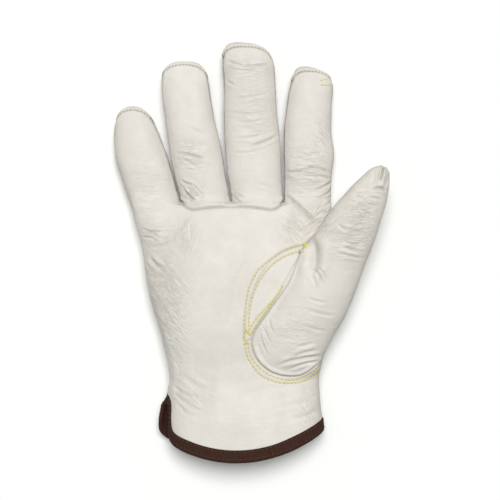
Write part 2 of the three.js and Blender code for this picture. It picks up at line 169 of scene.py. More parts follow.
THUMB = table("y left right bottom top", [
    (-77, 20.0, 36.0, 12.0, 22.0),
    (-71, 11.0, 41.6, 8.4, 28.6),
    (-63, 4.4, 44.2, 6.0, 32.0),
    (-51, 2.6, 50.4, 5.0, 34.6),
    (-38, 9.0, 58.0, 6.0, 36.4),
    (-24, 18.4, 63.4, 8.6, 37.0),
    (-10, 26.6, 68.2, 11.4, 37.0),
    (6, 35.6, 74.4, 17.0, 38.0),
    (18, 43.6, 77.8, 20.0, 39.4),
    (30, 52.8, 81.4, 22.0, 39.6),
    (40, 62.0, 82.8, 23.8, 38.6),
    (46.4, 68.4, 83.0, 25.4, 37.0),
    (49.6, 72.4, 81.6, 27.6, 34.8),
    (51.2, 76.6, 78.4, 30.4, 32.0),
])
ROUNDNESS = {"body": (2.4, 3.0), "finger": (2.3, 2.7), "thumb": (2.2, 2.2)}  # powers of each section
WEB = {"fingers": 0.7, "knuckles": 5.0, "ball": 6.0, "thumb": 0.8}  # fillets where limbs meet
ORDER = ["little", "ring", "middle", "index"]
SHIFT = -(FINGERS["little"]["left"].min() + THUMB["right"].max()) / 2
print("moved by", round(SHIFT, 3), "mm")

# %% [markdown]
# ## The skin
#
# A glove's leather is stretched over the lining, so its outside is one smooth form with soft webs. A
# distance field gives that: each limb is a field, fields join with a rounded minimum, and OpenVDB turns
# the zero level into quads. Webs between the fingers stay tight and the thumb's root is rounder.

# %% Fields of the limbs
def follow(rows, name, y):
    """Follows one column along y, as a cubic that never overshoots its rows."""
    ys, values = rows["y"], rows[name]
    slope = np.diff(values) / np.diff(ys)
    product = slope[1:] * slope[:-1]
    total = slope[1:] + slope[:-1]
    inner = np.where(product > 0, 2 * product / np.where(total == 0, 1, total), 0)
    tangent = np.concatenate(([slope[0]], inner, [slope[-1]]))
    k = np.clip(np.searchsorted(ys, y) - 1, 0, len(ys) - 2)
    span = ys[k + 1] - ys[k]
    t = np.clip((y - ys[k]) / span, 0, 1)
    start = (1 + 2 * t) * (1 - t) ** 2 * values[k] + t * (1 - t) ** 2 * span * tangent[k]
    end = t * t * (3 - 2 * t) * values[k + 1] + t * t * (t - 1) * span * tangent[k + 1]
    return start + end


def limb(rows, x, y, z, above, below):
    """Distance to one limb's surface, measured across y. Sections are superellipses."""
    left, right, bottom, top = (follow(rows, name, y) for name in ("left", "right", "bottom", "top"))
    side = follow(rows, "side", y) if "side" in rows else bottom + (top - bottom) * 0.56
    if "palm_left" in rows:
        left = np.where(z > side, follow(rows, "palm_left", y), left)
    is_above = z > side
    across = (x - (left + right) / 2) / ((right - left) / 2)
    up = (z - side) / np.where(is_above, top - side, side - bottom)
    power = np.where(is_above, above, below)
    ratio = (np.abs(across) ** power + np.abs(up) ** power) ** (1 / power)
    radius = np.hypot(x - (left + right) / 2, z - side)
    distance = (ratio - 1) * radius / np.maximum(ratio, 1e-4)
    return np.maximum(distance, np.maximum(y - rows["y"][-1], rows["y"][0] - y))


def soft_min(a, b, radius):
    """Joins two fields with a fillet."""
    h = np.clip(0.5 + 0.5 * (b - a) / radius, 0, 1)
    return b * (1 - h) + a * h - radius * h * (1 - h)


def ease(value, low, high):
    """Goes smoothly from 0 at low to 1 at high."""
    t = np.clip((value - low) / (high - low), 0, 1)
    return t * t * (3 - 2 * t)


def finger_field(name, x, y, z):
    return limb(FINGERS[name], x, y, z, *ROUNDNESS["finger"])


def thumb_field(x, y, z):
    return limb(THUMB, x, y, z, *ROUNDNESS["thumb"])


def hand_field(x, y, z):
    """The whole hand: fingers, then the body, then the thumb, which stands free past its root."""
    fingers = finger_field(ORDER[0], x, y, z)
    for name in ORDER[1:]:
        fingers = soft_min(fingers, finger_field(name, x, y, z), WEB["fingers"])
    body = limb(BODY, x, y, z, *ROUNDNESS["body"])
    hand = soft_min(body, fingers, WEB["knuckles"])
    root = WEB["ball"] - (WEB["ball"] - WEB["thumb"]) * ease(y, -14, 8)
    return np.maximum(soft_min(hand, thumb_field(x, y, z), root), -z)


# %% Turn the field into one skin
LOW = np.array([-86.0, -137.0, -3.0])
HIGH = np.array([87.0, 131.0, 44.0])
counts = np.ceil((HIGH - LOW) / CELL).astype(int)
axes = [LOW[k] + CELL * np.arange(counts[k]) for k in range(3)]
field = hand_field(axes[0][:, None, None], axes[1][None, :, None], axes[2][None, None, :])
grid = openvdb.FloatGrid(3 * CELL)
grid.copyFromArray(np.clip(field, -3 * CELL, 3 * CELL).astype(np.float32))
skin_points, skin_quads = grid.convertToQuads(isovalue=0.0)
skin_points = skin_points * CELL + LOW
print("skin", len(skin_points), "points and", len(skin_quads), "quads")

# %% [markdown]
# ## The pattern's seams
#
# A glover cuts flat panels and closes them with seams. On the finished skin a seam is a line, so each
# panel here is a region: a function of the place on the skin that is negative inside the panel. The
# skin is cut exactly where a region's function is zero, which gives every seam a clean edge.

# %% Tables of the seams
FINGER_SEAMS = table("from_tip back front", [
    (-4, 15.0, 15.0),
    (3, 14.5, 14.5),
    (7, 12.6, 12.6),
    (16, 5.6, 10.4),
    (34, 3.6, 9.8),
    (140, 3.6, 9.8),
])
LITTLE_SIDE = {"hand": 13.4, "finger": 8.4}
INDEX_SIDE = 3.6
LONG_SEAM = table("y x", [
    (-140, 36.4),
    (-108, 36.4),
    (-86, 34.0),
    (-72, 33.0),
    (-60, 35.0),
    (-37, 39.4),
    (-14, 43.0),
    (12, 46.0),
])
THUMB_SEAM = table("x y", [
    (41.0, 9.0),
    (35.4, 5.0),
    (32.2, -0.3),
    (27.6, -9.4),
    (22.6, -19.0),
    (15.0, -29.4),
    (7.6, -39.8),
    (2.4, -48.2),
    (1.4, -56.0),
    (4.6, -64.4),
    (12.4, -71.4),
    (22.8, -74.4),
    (32.6, -73.0),
    (42.6, -66.0),
])
THUMB_WRAP = {"from_y": -56.0, "to_y": 5.0, "inset": 2.4, "top": 8.0}
GUSSET = {"start": (34.1, 4.6), "bulge": (0.6, 0.4), "end": (-3.2, -52.7)}
TWO_FINGERS = {"y": 25.0, "corner": 5.0, "rise": 2.2}
FRONT_FLOOR = 9.0  # the sewn-in front panels stay above this height, the patch above twice this
WEB_START = 8.0  # the fourchettes begin here
NEAR_LINE = 0.28  # a vertex within this share of its edge from the line moves onto it


def curve_through(points, steps):
    """A smooth line through points, by Catmull and Rom's spline."""
    points = np.array(points, float)
    padded = np.vstack([2 * points[0] - points[1], points, 2 * points[-1] - points[-2]])
    line = []
    for a, b, c, d in zip(padded, padded[1:], padded[2:], padded[3:]):
        for t in np.arange(steps) / steps:
            cubic = (3 * b - a - 3 * c + d) * t**3 + (2 * a - 5 * b + 4 * c - d) * t * t
            line.append(0.5 * (cubic + (c - a) * t + 2 * b))
    line.append(points[-1])
    return np.array(line)


def bend(start, bulge, end, steps=16):
    """A quadratic curve from start to end."""
    start, bulge, end = np.array(start), np.array(bulge), np.array(end)
    t = (np.arange(steps + 1) / steps)[:, None]
    return (1 - t) ** 2 * start + 2 * t * (1 - t) * bulge + t * t * end


def outline_distance(outline, x, y):
    """Signed distance to a closed outline in plan, negative inside."""
    nearest = np.full(x.shape, 1e9)
    inside = np.zeros(x.shape, bool)
    for (ax, ay), (bx, by) in zip(outline, np.roll(outline, -1, axis=0)):
        ex, ey = bx - ax, by - ay
        t = np.clip(((x - ax) * ex + (y - ay) * ey) / max(ex * ex + ey * ey, 1e-9), 0, 1)
        nearest = np.minimum(nearest, np.hypot(x - ax - t * ex, y - ay - t * ey))
        crosses = (ay > y) != (by > y)
        inside ^= crosses & (x < ex * (y - ay) / (ey if ey else 1e-9) + ax)
    return np.where(inside, -nearest, nearest)


# %% Regions of the panels
def centre_x(name, y):
    return (follow(FINGERS[name], "left", y) + follow(FINGERS[name], "right", y)) / 2


def gap_x(a, b, y):
    return (follow(FINGERS[a], "right", y) + follow(FINGERS[b], "left", y)) / 2


def seam_height(name, side, y):
    tip = FINGERS[name]["y"][-1]
    return np.interp(tip - y, FINGER_SEAMS["from_tip"], FINGER_SEAMS[side])


thumb_line = curve_through(list(zip(THUMB_SEAM["x"], THUMB_SEAM["y"])), 4)
ball_outline = np.vstack([thumb_line, [200, thumb_line[-1][1]], [200, thumb_line[0][1]]])
gusset_line = bend(GUSSET["start"], GUSSET["bulge"], GUSSET["end"])
gusset_outline = np.vstack([gusset_line, [GUSSET["end"][0] + 9, GUSSET["end"][1]], [40, 4.6]])


def thumb_region(x, y, z):
    ball = np.maximum(outline_distance(ball_outline, x, y), THUMB_WRAP["top"] - z)
    wrap_side = np.interp(y, LONG_SEAM["y"], LONG_SEAM["x"]) + THUMB_WRAP["inset"] - x
    wrap = np.maximum(wrap_side, np.maximum(THUMB_WRAP["from_y"] - y, y - THUMB_WRAP["to_y"]))
    wrap = np.maximum(wrap, z - THUMB_WRAP["top"] - 1)
    free = np.maximum(thumb_field(x, y, z) - 0.9, 2 - y)
    return np.minimum(soft_min(ball, wrap, 4.0), free)


def gusset_region(x, y, z):
    return np.maximum(outline_distance(gusset_outline, x, y), FRONT_FLOOR * 2 - z)


def fourchette_region(a, b):
    def region(x, y, z):
        nearer_a = x < gap_x(a, b, y)
        front, back = (np.where(nearer_a, seam_height(a, side, y), seam_height(b, side, y))
                       for side in ("front", "back"))
        within = np.maximum(centre_x(a, y) - x, x - centre_x(b, y))
        between = np.maximum(z - front, back - z)
        return np.maximum(np.maximum(between, within), WEB_START - y)

    return region


def back_region(x, y, z):
    outer = LITTLE_SIDE["hand"] + (LITTLE_SIDE["finger"] - LITTLE_SIDE["hand"]) * ease(y, 5, 36)
    tip = {name: ease(FINGERS[name]["y"][-1] - y, 4, 26) for name in ORDER}
    height = np.full(x.shape, 0.0)
    for k, name in enumerate(ORDER):
        low = -1e9 if k == 0 else gap_x(ORDER[k - 1], name, y)
        high = 1e9 if k == 3 else gap_x(name, ORDER[k + 1], y)
        own = seam_height(name, "back", y)
        middle = centre_x(name, y)
        if name == "little":
            own = np.where(x < middle, outer * tip[name] + own * (1 - tip[name]), own)
        if name == "index":
            own = np.where(x > middle, INDEX_SIDE * tip[name] + own * (1 - tip[name]), own)
        height = np.where((x >= low) & (x < high), own, height)
    fingers = z - height
    long_seam = x - np.interp(y, LONG_SEAM["y"], LONG_SEAM["x"])
    hand = np.maximum(long_seam, z - np.where(x < 0, outer, LITTLE_SIDE["hand"]))
    part = ease(y, 4, 20)
    return hand * (1 - part) + fingers * part


def two_finger_region(x, y, z):
    left = gap_x("little", "ring", np.maximum(y, 30))
    right = gap_x("middle", "index", np.maximum(y, 30))
    middle, half = (left + right) / 2, (right - left) / 2
    line = TWO_FINGERS["y"] + TWO_FINGERS["rise"] * (1 - np.clip(np.abs(x - middle) / half * 1.3, 0, 1) ** 2)
    sides = np.maximum(left - x, x - right)
    return np.maximum(-soft_min(-sides, y - line, TWO_FINGERS["corner"] * 2), FRONT_FLOOR - z)


def hem_region(x, y, z):
    """Negative on what is cut away below the hem and inside the vent, with rounded corners."""
    hem = y - HEM["lowest"] - HEM["rise"] * ((x - HEM["middle"]) / HEM["half_width"]) ** 2
    opening = VENT["slit"] + (VENT["open"] - VENT["slit"]) * ease(-y, -VENT["apex_y"], -VENT["apex_y"] + 26)
    vent = np.maximum(np.abs(z - VENT["z"]) - opening, np.maximum(y - VENT["apex_y"], x + 30))
    return soft_min(hem, vent, VENT["corner"])


# %% Cut the skin along the regions
def cut_at_zero(bm, values):
    """Cuts a mesh where values, one a vertex, change sign. Vertices beside the line move onto it."""
    layer = bm.verts.layers.float.new("cut")
    for vertex, value in zip(bm.verts, values):
        vertex[layer] = value
    crossing = [e for e in bm.edges if e.verts[0][layer] * e.verts[1][layer] < 0]
    for edge in crossing:
        a, b = edge.verts
        fa, fb = a[layer], b[layer]
        if fa * fb >= 0:
            continue
        t = fa / (fa - fb)
        near, far, part = (a, b, t) if t < 0.5 else (b, a, 1 - t)
        if part < NEAR_LINE:
            near.co = near.co.lerp(far.co, part)
            near[layer] = 0.0
    faces = set()
    for edge in crossing:
        a, b = edge.verts
        fa, fb = a[layer], b[layer]
        if fa * fb >= 0:
            faces.update(a.link_faces)
            faces.update(b.link_faces)
            continue
        faces.update(edge.link_faces)
        _, vertex = bmesh.utils.edge_split(edge, a, fa / (fa - fb))
        vertex[layer] = 0.0
    for face in faces:
        on_line = [v for v in face.verts if v[layer] == 0.0]
        if len(on_line) != 2 or any(on_line[0] in e.verts and on_line[1] in e.verts for e in face.edges):
            continue
        if min(v[layer] for v in face.verts) < 0 < max(v[layer] for v in face.verts):
            bmesh.utils.face_split(face, *on_line)
    bm.verts.layers.float.remove(layer)


def places(bm):
    return np.array([v.co for v in bm.verts]).T


PANELS = ["thumb", "fourchette_little_ring", "fourchette_ring_middle", "fourchette_middle_index",
          "back_panel", "thumb_gusset", "middle_ring_front", "palm_panel"]
REGIONS = [
    thumb_region,
    fourchette_region("little", "ring"),
    fourchette_region("ring", "middle"),
    fourchette_region("middle", "index"),
    back_region,
    gusset_region,
    two_finger_region,
]

skin = bmesh.new()
for point in skin_points:
    skin.verts.new(point)
skin.verts.ensure_lookup_table()
for quad in skin_quads:
    skin.faces.new([skin.verts[k] for k in quad])
bmesh.ops.recalc_face_normals(skin, faces=skin.faces)
bmesh.ops.smooth_vert(skin, verts=skin.verts, factor=0.5, use_axis_x=True, use_axis_y=True, use_axis_z=True)
# smaller quads at the thumb's tip hold its pinched seam
pinched = [e for e in skin.edges if all(v.co.x > FINE_FROM[0] and v.co.y > FINE_FROM[1] for v in e.verts)]
bmesh.ops.subdivide_edges(skin, edges=pinched, cuts=1, use_grid_fill=True)

cut_at_zero(skin, hem_region(*places(skin)))
centres = np.array([f.calc_center_median() for f in skin.faces]).T
gone = [f for f, value in zip(list(skin.faces), hem_region(*centres)) if value < 0]
bmesh.ops.delete(skin, geom=gone, context="FACES")

for region in REGIONS:
    here = places(skin)
    values = region(*here)
    if region is not thumb_region:
        values = np.maximum(values, -thumb_region(*here))  # no other seam crosses the thumb
    cut_at_zero(skin, values)
centres = np.array([f.calc_center_median() for f in skin.faces]).T
label = np.full(centres.shape[1], len(PANELS) - 1)
for k in range(len(REGIONS) - 1, -1, -1):
    label[REGIONS[k](*centres) < 0] = k
print({name: int((label == k).sum()) for k, name in enumerate(PANELS)})


# %% [markdown]
# ## Folds, gathers and rolled seams
#
# Leather that is turned and stuffed keeps four kinds of relief: its edges roll into every seam and the
# panel swells beside it, it folds where the hand bends, it crumples finely where it is slack, and the
# elastic draws the wrist into ridges. Each is a function of the place on the skin, added along the
# normal. Folds and slack areas are charted, a row for each.

# %% How each seam is rolled
# shade is the painted shade in each seam's groove, where the rolled edges take the light away
SEAM_LOOKS = {
    "plain": {"groove": 0.9, "width": 0.65, "puff": 0.42, "at": 2.6, "spread": 1.5, "shade": 0.34},
    "rolled": {"groove": 1.0, "width": 0.55, "puff": 0.95, "at": 1.9, "spread": 1.15, "shade": 0.24},
    "under": {"groove": 1.0, "width": 0.55, "puff": 0.1, "at": 2.6, "spread": 1.6, "shade": 0.24},
    "welt": {"groove": 1.0, "width": 0.55, "puff": 0.55, "at": 1.7, "spread": 0.75, "shade": 0.24},
    "lapped": {"groove": 0.3, "width": 0.5, "puff": 0.12, "at": 1.3, "spread": 0.8, "shade": 0.2},
    "tip": {"groove": 0.8, "width": 0.55, "puff": 0.4, "at": 1.5, "spread": 0.9, "shade": 0.4},
}
ROLLED_PAIRS = {
    ("middle_ring_front", "palm_panel"): "middle_ring_front",
    ("thumb", "palm_panel"): "thumb",
    ("thumb", "thumb_gusset"): "thumb",
}
LAPPED_PAIR = ("thumb_gusset", "palm_panel")

# %% Table of folds
FOLDS = table("side x0 y0 x1 y1 bow width depth", [
    (1, -64.4, 13.8, -53, 12.2, 0.6, 0.65, 0.95),
    (1, -64, 11.4, -54, 9.4, -0.8, 0.65, 0.8),
    (1, -63.6, 8.8, -57, 8.2, -0.4, 0.65, 0.45),
    (1, -61, 3.2, -45, 6.6, 1.0, 0.9, 0.5),
    (1, -60, -3, -52, -10, 0.8, 1.1, 0.7),
    (1, -37.6, 21, -42.6, 11, -0.8, 1.0, 0.6),
    (1, -41, 18, -48, 5, -0.8, 1.1, 0.35),
    (1, -33, 19, -35, 6, 0.6, 1.3, 0.28),
    (1, -40.4, 38.4, -33.2, 32.0, 0.5, 0.65, 1.1),
    (1, -40.6, 36.4, -31.0, 30.6, 0.5, 0.6, 0.75),
    (1, -39.6, 34.4, -33.0, 29.6, 0.4, 0.55, 0.6),
    (1, -41.4, 43.2, -34.2, 40, 0.3, 0.7, 0.7),
    (1, -43.6, 59.4, -26, 55.4, -0.9, 0.8, 0.8),
    (1, -41, 56.6, -30, 49.4, -0.6, 0.8, 0.4),
    (1, -36, 75, -25, 70.4, 0.5, 1.2, 0.22),
    (1, -13.4, 115.8, -2.4, 112, 0.3, 0.75, 0.6),
    (1, -3.4, 112, 12.2, 113.8, 0.7, 0.8, 0.5),
    (1, -8, 109.8, 10, 111.2, 0.9, 0.7, 0.32),
    (1, -13.4, 103.6, -8.6, 101, 0.3, 0.7, 0.5),
    (1, -9.4, 92.6, 11.2, 95.8, 0.9, 0.8, 0.32),
    (1, -12.6, 84, 2.4, 82, -0.6, 0.8, 0.28),
    (1, -9, 78, 8, 79.4, 0.6, 0.7, 0.25),
    (1, -8.6, 68.4, 8.4, 70.6, 0.5, 0.7, 0.3),
    (1, 0.2, 63.8, 17.4, 70.8, 1.0, 0.9, 0.7),
    (1, -9, 60, 4, 60.6, 0.5, 0.7, 0.35),
    (1, -9.6, 34, -4.6, 29.4, 0.3, 0.65, 0.6),
    (1, -8.6, 36.6, -2, 32, 0.4, 0.6, 0.3),
    (1, 4, 41, 17, 36.6, -0.8, 0.9, 0.25),
    (1, 21.6, 48.8, 35, 49.8, 0.9, 0.9, 0.75),
    (1, 33, 50.2, 49.4, 47.6, -1.2, 0.9, 0.85),
    (1, 36, 45.4, 49.6, 44, -0.6, 0.8, 0.45),
    (1, 30, 58.4, 46, 60.6, 0.6, 0.9, 0.3),
    (1, 40, 37.4, 51, 43.6, 0.8, 0.7, 0.75),
    (1, 42, 33, 50.8, 38.4, 0.8, 0.65, 0.7),
    (1, 38, 33.4, 50.6, 34.4, 1.4, 0.65, 0.5),
    (1, 43, 26.8, 50, 31.4, 0.8, 0.65, 0.5),
    (1, 21.2, 34.8, 40.6, 16.6, -0.8, 1.0, 1.05),
    (1, 24, 30, 34.8, 19.4, -0.8, 0.8, 0.6),
    (1, 23.4, 25.4, 30, 12, -0.8, 0.9, 0.4),
    (1, 29, 12, 40, 19, 0.8, 0.9, 0.5),
    (1, 31, 8, 38, 12.6, 0.5, 0.7, 0.35),
    (1, 50, 0.6, 68.6, -3.6, 0.8, 0.75, 0.55),
    (1, 55.6, 6.2, 64.6, 4.4, 0.3, 0.7, 0.45),
    (1, 54, 3.2, 66.6, 0.4, 0.4, 0.65, 0.35),
    (1, 52, 16.6, 58, 12.2, 0.3, 0.8, 0.45),
    (1, 57, 13.6, 67, 12.2, 0.5, 0.7, 0.5),
    (1, 66, 24.6, 72.6, 21.6, 0.4, 0.7, 0.45),
    (1, 36.8, 9, 37.0, -14.4, -1.8, 3.0, 2.2),
    (1, 36.8, -9, 42.6, -19.2, -1.6, 0.7, 0.7),
    (1, 39.2, -8.6, 45.4, -17.6, -1.4, 0.7, 0.5),
    (1, 36.0, -13, 39.6, -22.4, -1.0, 0.7, 0.45),
    (1, 34, -26.8, 46, -30, 0.6, 0.8, 0.35),
    (1, 32, -33, 52, -38, 0.8, 0.9, 0.35),
    (1, 30, -42, 46, -47, 0.8, 0.9, 0.3),
    (1, 11.6, -40, 15, -48.6, 0.5, 0.7, 0.35),
    (1, 8.4, -44, 13.6, -55, 0.6, 0.7, 0.35),
    (1, 6.6, -50, 11, -61, 0.4, 0.7, 0.35),
    (1, 43.6, -62.2, 17, -67.4, 1.6, 0.9, 0.85),
    (1, 43, -65.0, 23, -70.2, 1.2, 0.75, 0.6),
    (1, 42, -58, 24, -63.2, 0.8, 0.9, 0.6),
    (1, 40, -54, 28, -57, 0.6, 0.9, 0.35),
    (1, -46, -80, -32, -87, 1.0, 1.0, 0.42),
    (1, -45, -84, -28, -95, 1.2, 1.0, 0.45),
    (1, -44, -90, -34, -98, 0.8, 0.9, 0.3),
    (1, -40, -74, -24, -82, 1.4, 1.5, 0.35),
    (1, -6, -86, 30, -80, -1.6, 1.8, 0.15),
    (1, 14, -92, 39, -88, 1.0, 1.4, 0.25),
    (1, 19, -80, 25, -120, 0, 6.5, 0.75),
    (1, -27, -66, -31, -114, 0, 6.0, 0.55),
    (1, 24, -99, 41, -95, 0.8, 1.2, 0.35),
    (1, 1, -1, -10, -50, 3.8, 2.6, 0.45),
    (1, 80.4, 52.4, 77.2, 41.4, 0.2, 0.55, 1.5),
    (1, 74.2, 50.0, 73.4, 37.4, -1.6, 1.5, 0.6),
    (1, 82.8, 47.4, 78.6, 37.0, -0.6, 1.0, 0.4),
    (1, 72.4, 37.0, 81.0, 35.4, -1.4, 0.9, 0.95),
    (1, 70.4, 32.0, 77.8, 30.4, -0.4, 0.8, 0.4),
    (1, 69.4, 28.2, 76.0, 26.4, -0.4, 0.7, 0.35),
    (-1, 75.5, 50.0, 62.0, 24.0, 1.2, 0.55, 0.8),
    (-1, 63.6, 27.4, 53.0, 4.0, 1.0, 0.55, 0.8),
    (-1, 44, 10, 38, -6, 1.0, 1.2, 0.6),
    (-1, -56, 12, -44, 6, 1.0, 1.2, 0.45),
    (-1, 60, 18, 72, 14, 0.8, 0.9, 0.5),
    (-1, 56, 12, 68, 7, 0.8, 0.9, 0.45),
    (-1, 46, -28, 56, -20, 0.8, 1.0, 0.6),
    (-1, 42, -36, 54, -30, 0.8, 1.0, 0.6),
])

# %% Table of the slack areas, where the leather is finely crumpled
SLACK = table("side x y reach_x reach_y angle pitch depth", [
    (1, -51, -22, 15, 28, -52, 3.0, 0.5),
    (1, -53, -18, 12, 24, 36, 2.8, 0.44),
    (1, -46, -56, 9, 18, -60, 3.0, 0.36),
    (1, 36, -94, 9, 15, -56, 2.8, 0.3),
    (1, -38, -86, 18, 14, -38, 3.4, 0.34),
    (1, 28, -48, 20, 18, 6, 3.4, 0.26),
    (1, 9, -50, 6, 13, -64, 2.6, 0.32),
    (1, 60, 3, 14, 12, -6, 2.6, 0.32),
    (1, 66, 24, 12, 17, -14, 2.8, 0.38),
    (1, 42, 20, 12, 13, 34, 2.8, 0.5),
    (1, -54, 6, 13, 11, 6, 2.8, 0.34),
    (1, -39, 8, 8, 14, 62, 2.8, 0.36),
    (1, 27, 14, 9, 12, -58, 3.0, 0.42),
    (1, -35, 35, 8, 8, -36, 2.2, 0.55),
    (1, -8, 32, 6, 6, -40, 2.0, 0.45),
    (1, -35, 57, 12, 12, -16, 3.2, 0.34),
    (1, 3, 82, 15, 30, 3, 3.0, 0.22),
    (1, 36, 48, 14, 18, -4, 3.0, 0.4),
    (1, 44, 66, 6, 18, -66, 2.4, 0.4),
    (1, 0, 112, 14, 5, 0, 2.4, 0.3),
    (1, -62, 34, 12, 22, 0, 4.2, 0.2),
    (1, -12, -30, 46, 50, 84, 6.5, 0.06),
    (1, -5, -102, 50, 16, 12, 7.0, 0.12),
    (-1, 30, -48, 10, 22, 70, 3.4, 0.5),
    (-1, -6, -54, 44, 15, 88, 4.6, 0.34),
    (-1, -6, -98, 46, 16, 90, 5.0, 0.3),
    (-1, 62, 18, 16, 18, -22, 3.0, 0.42),
    (-1, 48, -30, 14, 18, 40, 3.2, 0.5),
    (-1, -10, 22, 40, 10, 80, 4.0, 0.25),
])
GATHERS = {"y": -75.0, "reach": 20.0, "pitch": 9.4, "depth": 1.15, "pinch": 1.1, "pinch_reach": 4.6}

# %% [markdown]
# ## Lines of stitching
#
# Two rows of yellow thread hold the patch beside the thumb, a straight double row crosses it, and two
# more rows run round the ball of the thumb. On the back a zigzag holds the elastic. The rows are charted
# in plan; the leather is drawn in along them first, and the thread comes later.

# %% Rows of stitching, in plan
PATCH_OUTER = [(34.1, 4.6), (28.6, 3.3), (22.8, 1.6), (17.0, -1.2), (9.8, -6.8), (4.7, -12.0), (0.2, -21.0),
               (-2.1, -32.6), (-3.0, -43.0), (-3.0, -52.7)]
PATCH_INNER = [(31.9, 0.2), (26.4, -0.6), (20.2, -3.2), (13.4, -8.0), (6.9, -15.9), (2.7, -24.9),
               (0.3, -35.2), (-0.3, -43.7)]
ACROSS_LEFT = [(17.6, -24.4), (14.0, -28.7), (7.9, -35.4), (2.8, -41.8), (-1.1, -47.6)]
ACROSS_RIGHT = [(19.8, -20.4), (17.9, -23.5), (12.5, -31.4), (5.7, -41.2), (0.7, -49.0)]
BALL_OUTER = [(-2.6, -54.6), (-1.1, -62.3), (3.3, -69.5), (8.6, -74.6), (17.7, -77.8), (26.4, -78.2),
              (34.0, -77.0), (40.4, -73.8)]
ZIGZAG = {"from_x": 33.0, "to_x": -46.0, "high": -71.6, "low": -79.0, "step": 4.9, "rise": 3.0}
# shade is the painted shade along each row's dimple
ROW_DIMPLE = {"depth": 0.34, "width": 0.65, "shade": 0.2}


def beside(line, distance):
    """A line at a distance to the right of another."""
    step = np.gradient(line, axis=0)
    step /= np.linalg.norm(step, axis=1)[:, None]
    return line + distance * np.stack([step[:, 1], -step[:, 0]], axis=1)


ball_part = thumb_line[(thumb_line[:, 1] < -52.5) & (thumb_line[:, 0] < 41.5)]
peaks = np.arange(ZIGZAG["from_x"], ZIGZAG["to_x"], -ZIGZAG["step"])
heights = [ZIGZAG["high"] if k % 2 else ZIGZAG["low"] for k in range(len(peaks))]
heights += np.linspace(0, ZIGZAG["rise"], len(peaks))
wrap_y = np.linspace(-52, 2, 28)
wrap_x = np.interp(wrap_y, LONG_SEAM["y"], LONG_SEAM["x"]) + THUMB_WRAP["inset"] + 1.3
PALM_ROWS = {
    "patch_outer": curve_through(PATCH_OUTER, 6),
    "patch_inner": curve_through(PATCH_INNER, 6),
    "across_left": curve_through(ACROSS_LEFT, 6),
    "across_right": curve_through(ACROSS_RIGHT, 6),
    "ball_outer": curve_through(BALL_OUTER, 6),
    "ball_inner": beside(ball_part, 1.9),
}
BACK_ROWS = {
    "elastic": np.stack([peaks, heights], axis=1),
    "thumb_wrap": np.stack([wrap_x, wrap_y], axis=1),
}


def line_distance(line, x, y):
    """Distance in plan to an open line."""
    nearest = np.full(x.shape, 1e9)
    for (ax, ay), (bx, by) in zip(line, line[1:]):
        ex, ey = bx - ax, by - ay
        t = np.clip(((x - ax) * ex + (y - ay) * ey) / (ex * ex + ey * ey), 0, 1)
        nearest = np.minimum(nearest, np.hypot(x - ax - t * ex, y - ay - t * ey))
    return nearest


# %% Relief of the leather
def waves(points, scale, seed, stretch=(1.0, 1.0, 1.0)):
    """Smooth noise from -1 to 1 at each place, with bumps about as long as scale."""
    moved = points / scale / np.array(stretch) + seed * 17.3
    return np.array([noise.noise(Vector(place)) for place in moved])


def fold_relief(points, facing):
    """Valleys with a swelling on both sides, along the charted folds, and how sharp each place's fold is,
    which sets the painted shade in the narrow folds.
    """
    x, y = points[:, 0], points[:, 1]
    relief, sharp = np.zeros(len(points)), np.zeros(len(points))
    for side, x0, y0, x1, y1, bow, width, depth in zip(*FOLDS.values()):
        length = math.hypot(x1 - x0, y1 - y0)
        along = ((x - x0) * (x1 - x0) + (y - y0) * (y1 - y0)) / length**2
        aside = ((x - x0) * (y1 - y0) - (y - y0) * (x1 - x0)) / length
        aside = aside - 4 * bow * along * (1 - along)
        fade = ease(along, -0.08, 0.3) * ease(1 - along, -0.08, 0.3) * ease(facing * side, 0.05, 0.4)
        valley = np.exp(-((aside / width) ** 2))
        swelling = np.exp(-(((np.abs(aside) - 2.0 * width) / (1.2 * width)) ** 2))
        relief += depth * fade * (0.55 * swelling - valley)
        sharp += depth * fade * valley * min(1.0, 1.4 / width) ** 2
    return relief, sharp


CREASE_WAYS = {"crease_across": 0.0, "crease_rising": 38.0, "crease_upright": 82.0, "crease_falling": -45.0}
creased = {name: np.zeros(0) for name in CREASE_WAYS}


def crumple(points, facing):
    """Creases that run along each slack area's own direction. It also notes how creased each place is."""
    relief = np.zeros(len(points))
    creased.update({name: np.zeros(len(points)) for name in CREASE_WAYS})
    for k, (side, x, y, reach_x, reach_y, angle, pitch, depth) in enumerate(zip(*SLACK.values())):
        aside_x, aside_y = points[:, 0] - x, points[:, 1] - y
        mask = np.exp(-((aside_x / reach_x) ** 2) - (aside_y / reach_y) ** 2) * ease(facing * side, -0.1, 0.4)
        active = np.nonzero(mask > 0.04)[0]
        turn = math.radians(angle)
        along = aside_x * math.cos(turn) + aside_y * math.sin(turn)
        across = aside_y * math.cos(turn) - aside_x * math.sin(turn)
        place = np.stack([along / (4.4 * pitch), across / pitch, points[:, 2] / (3 * pitch)], axis=1)[active]
        value = np.array([noise.noise(Vector(p)) for p in place + 5.7 * (k + 1)])
        crease = np.clip(1 - np.abs(value) / 0.3, 0, 1)
        relief[active] += depth * mask[active] * (0.7 * value - 0.35 * crease * crease)
        way = min(CREASE_WAYS, key=lambda name: abs((CREASE_WAYS[name] - angle + 90) % 180 - 90))
        creased[way] += mask * depth * 1.5
    return relief


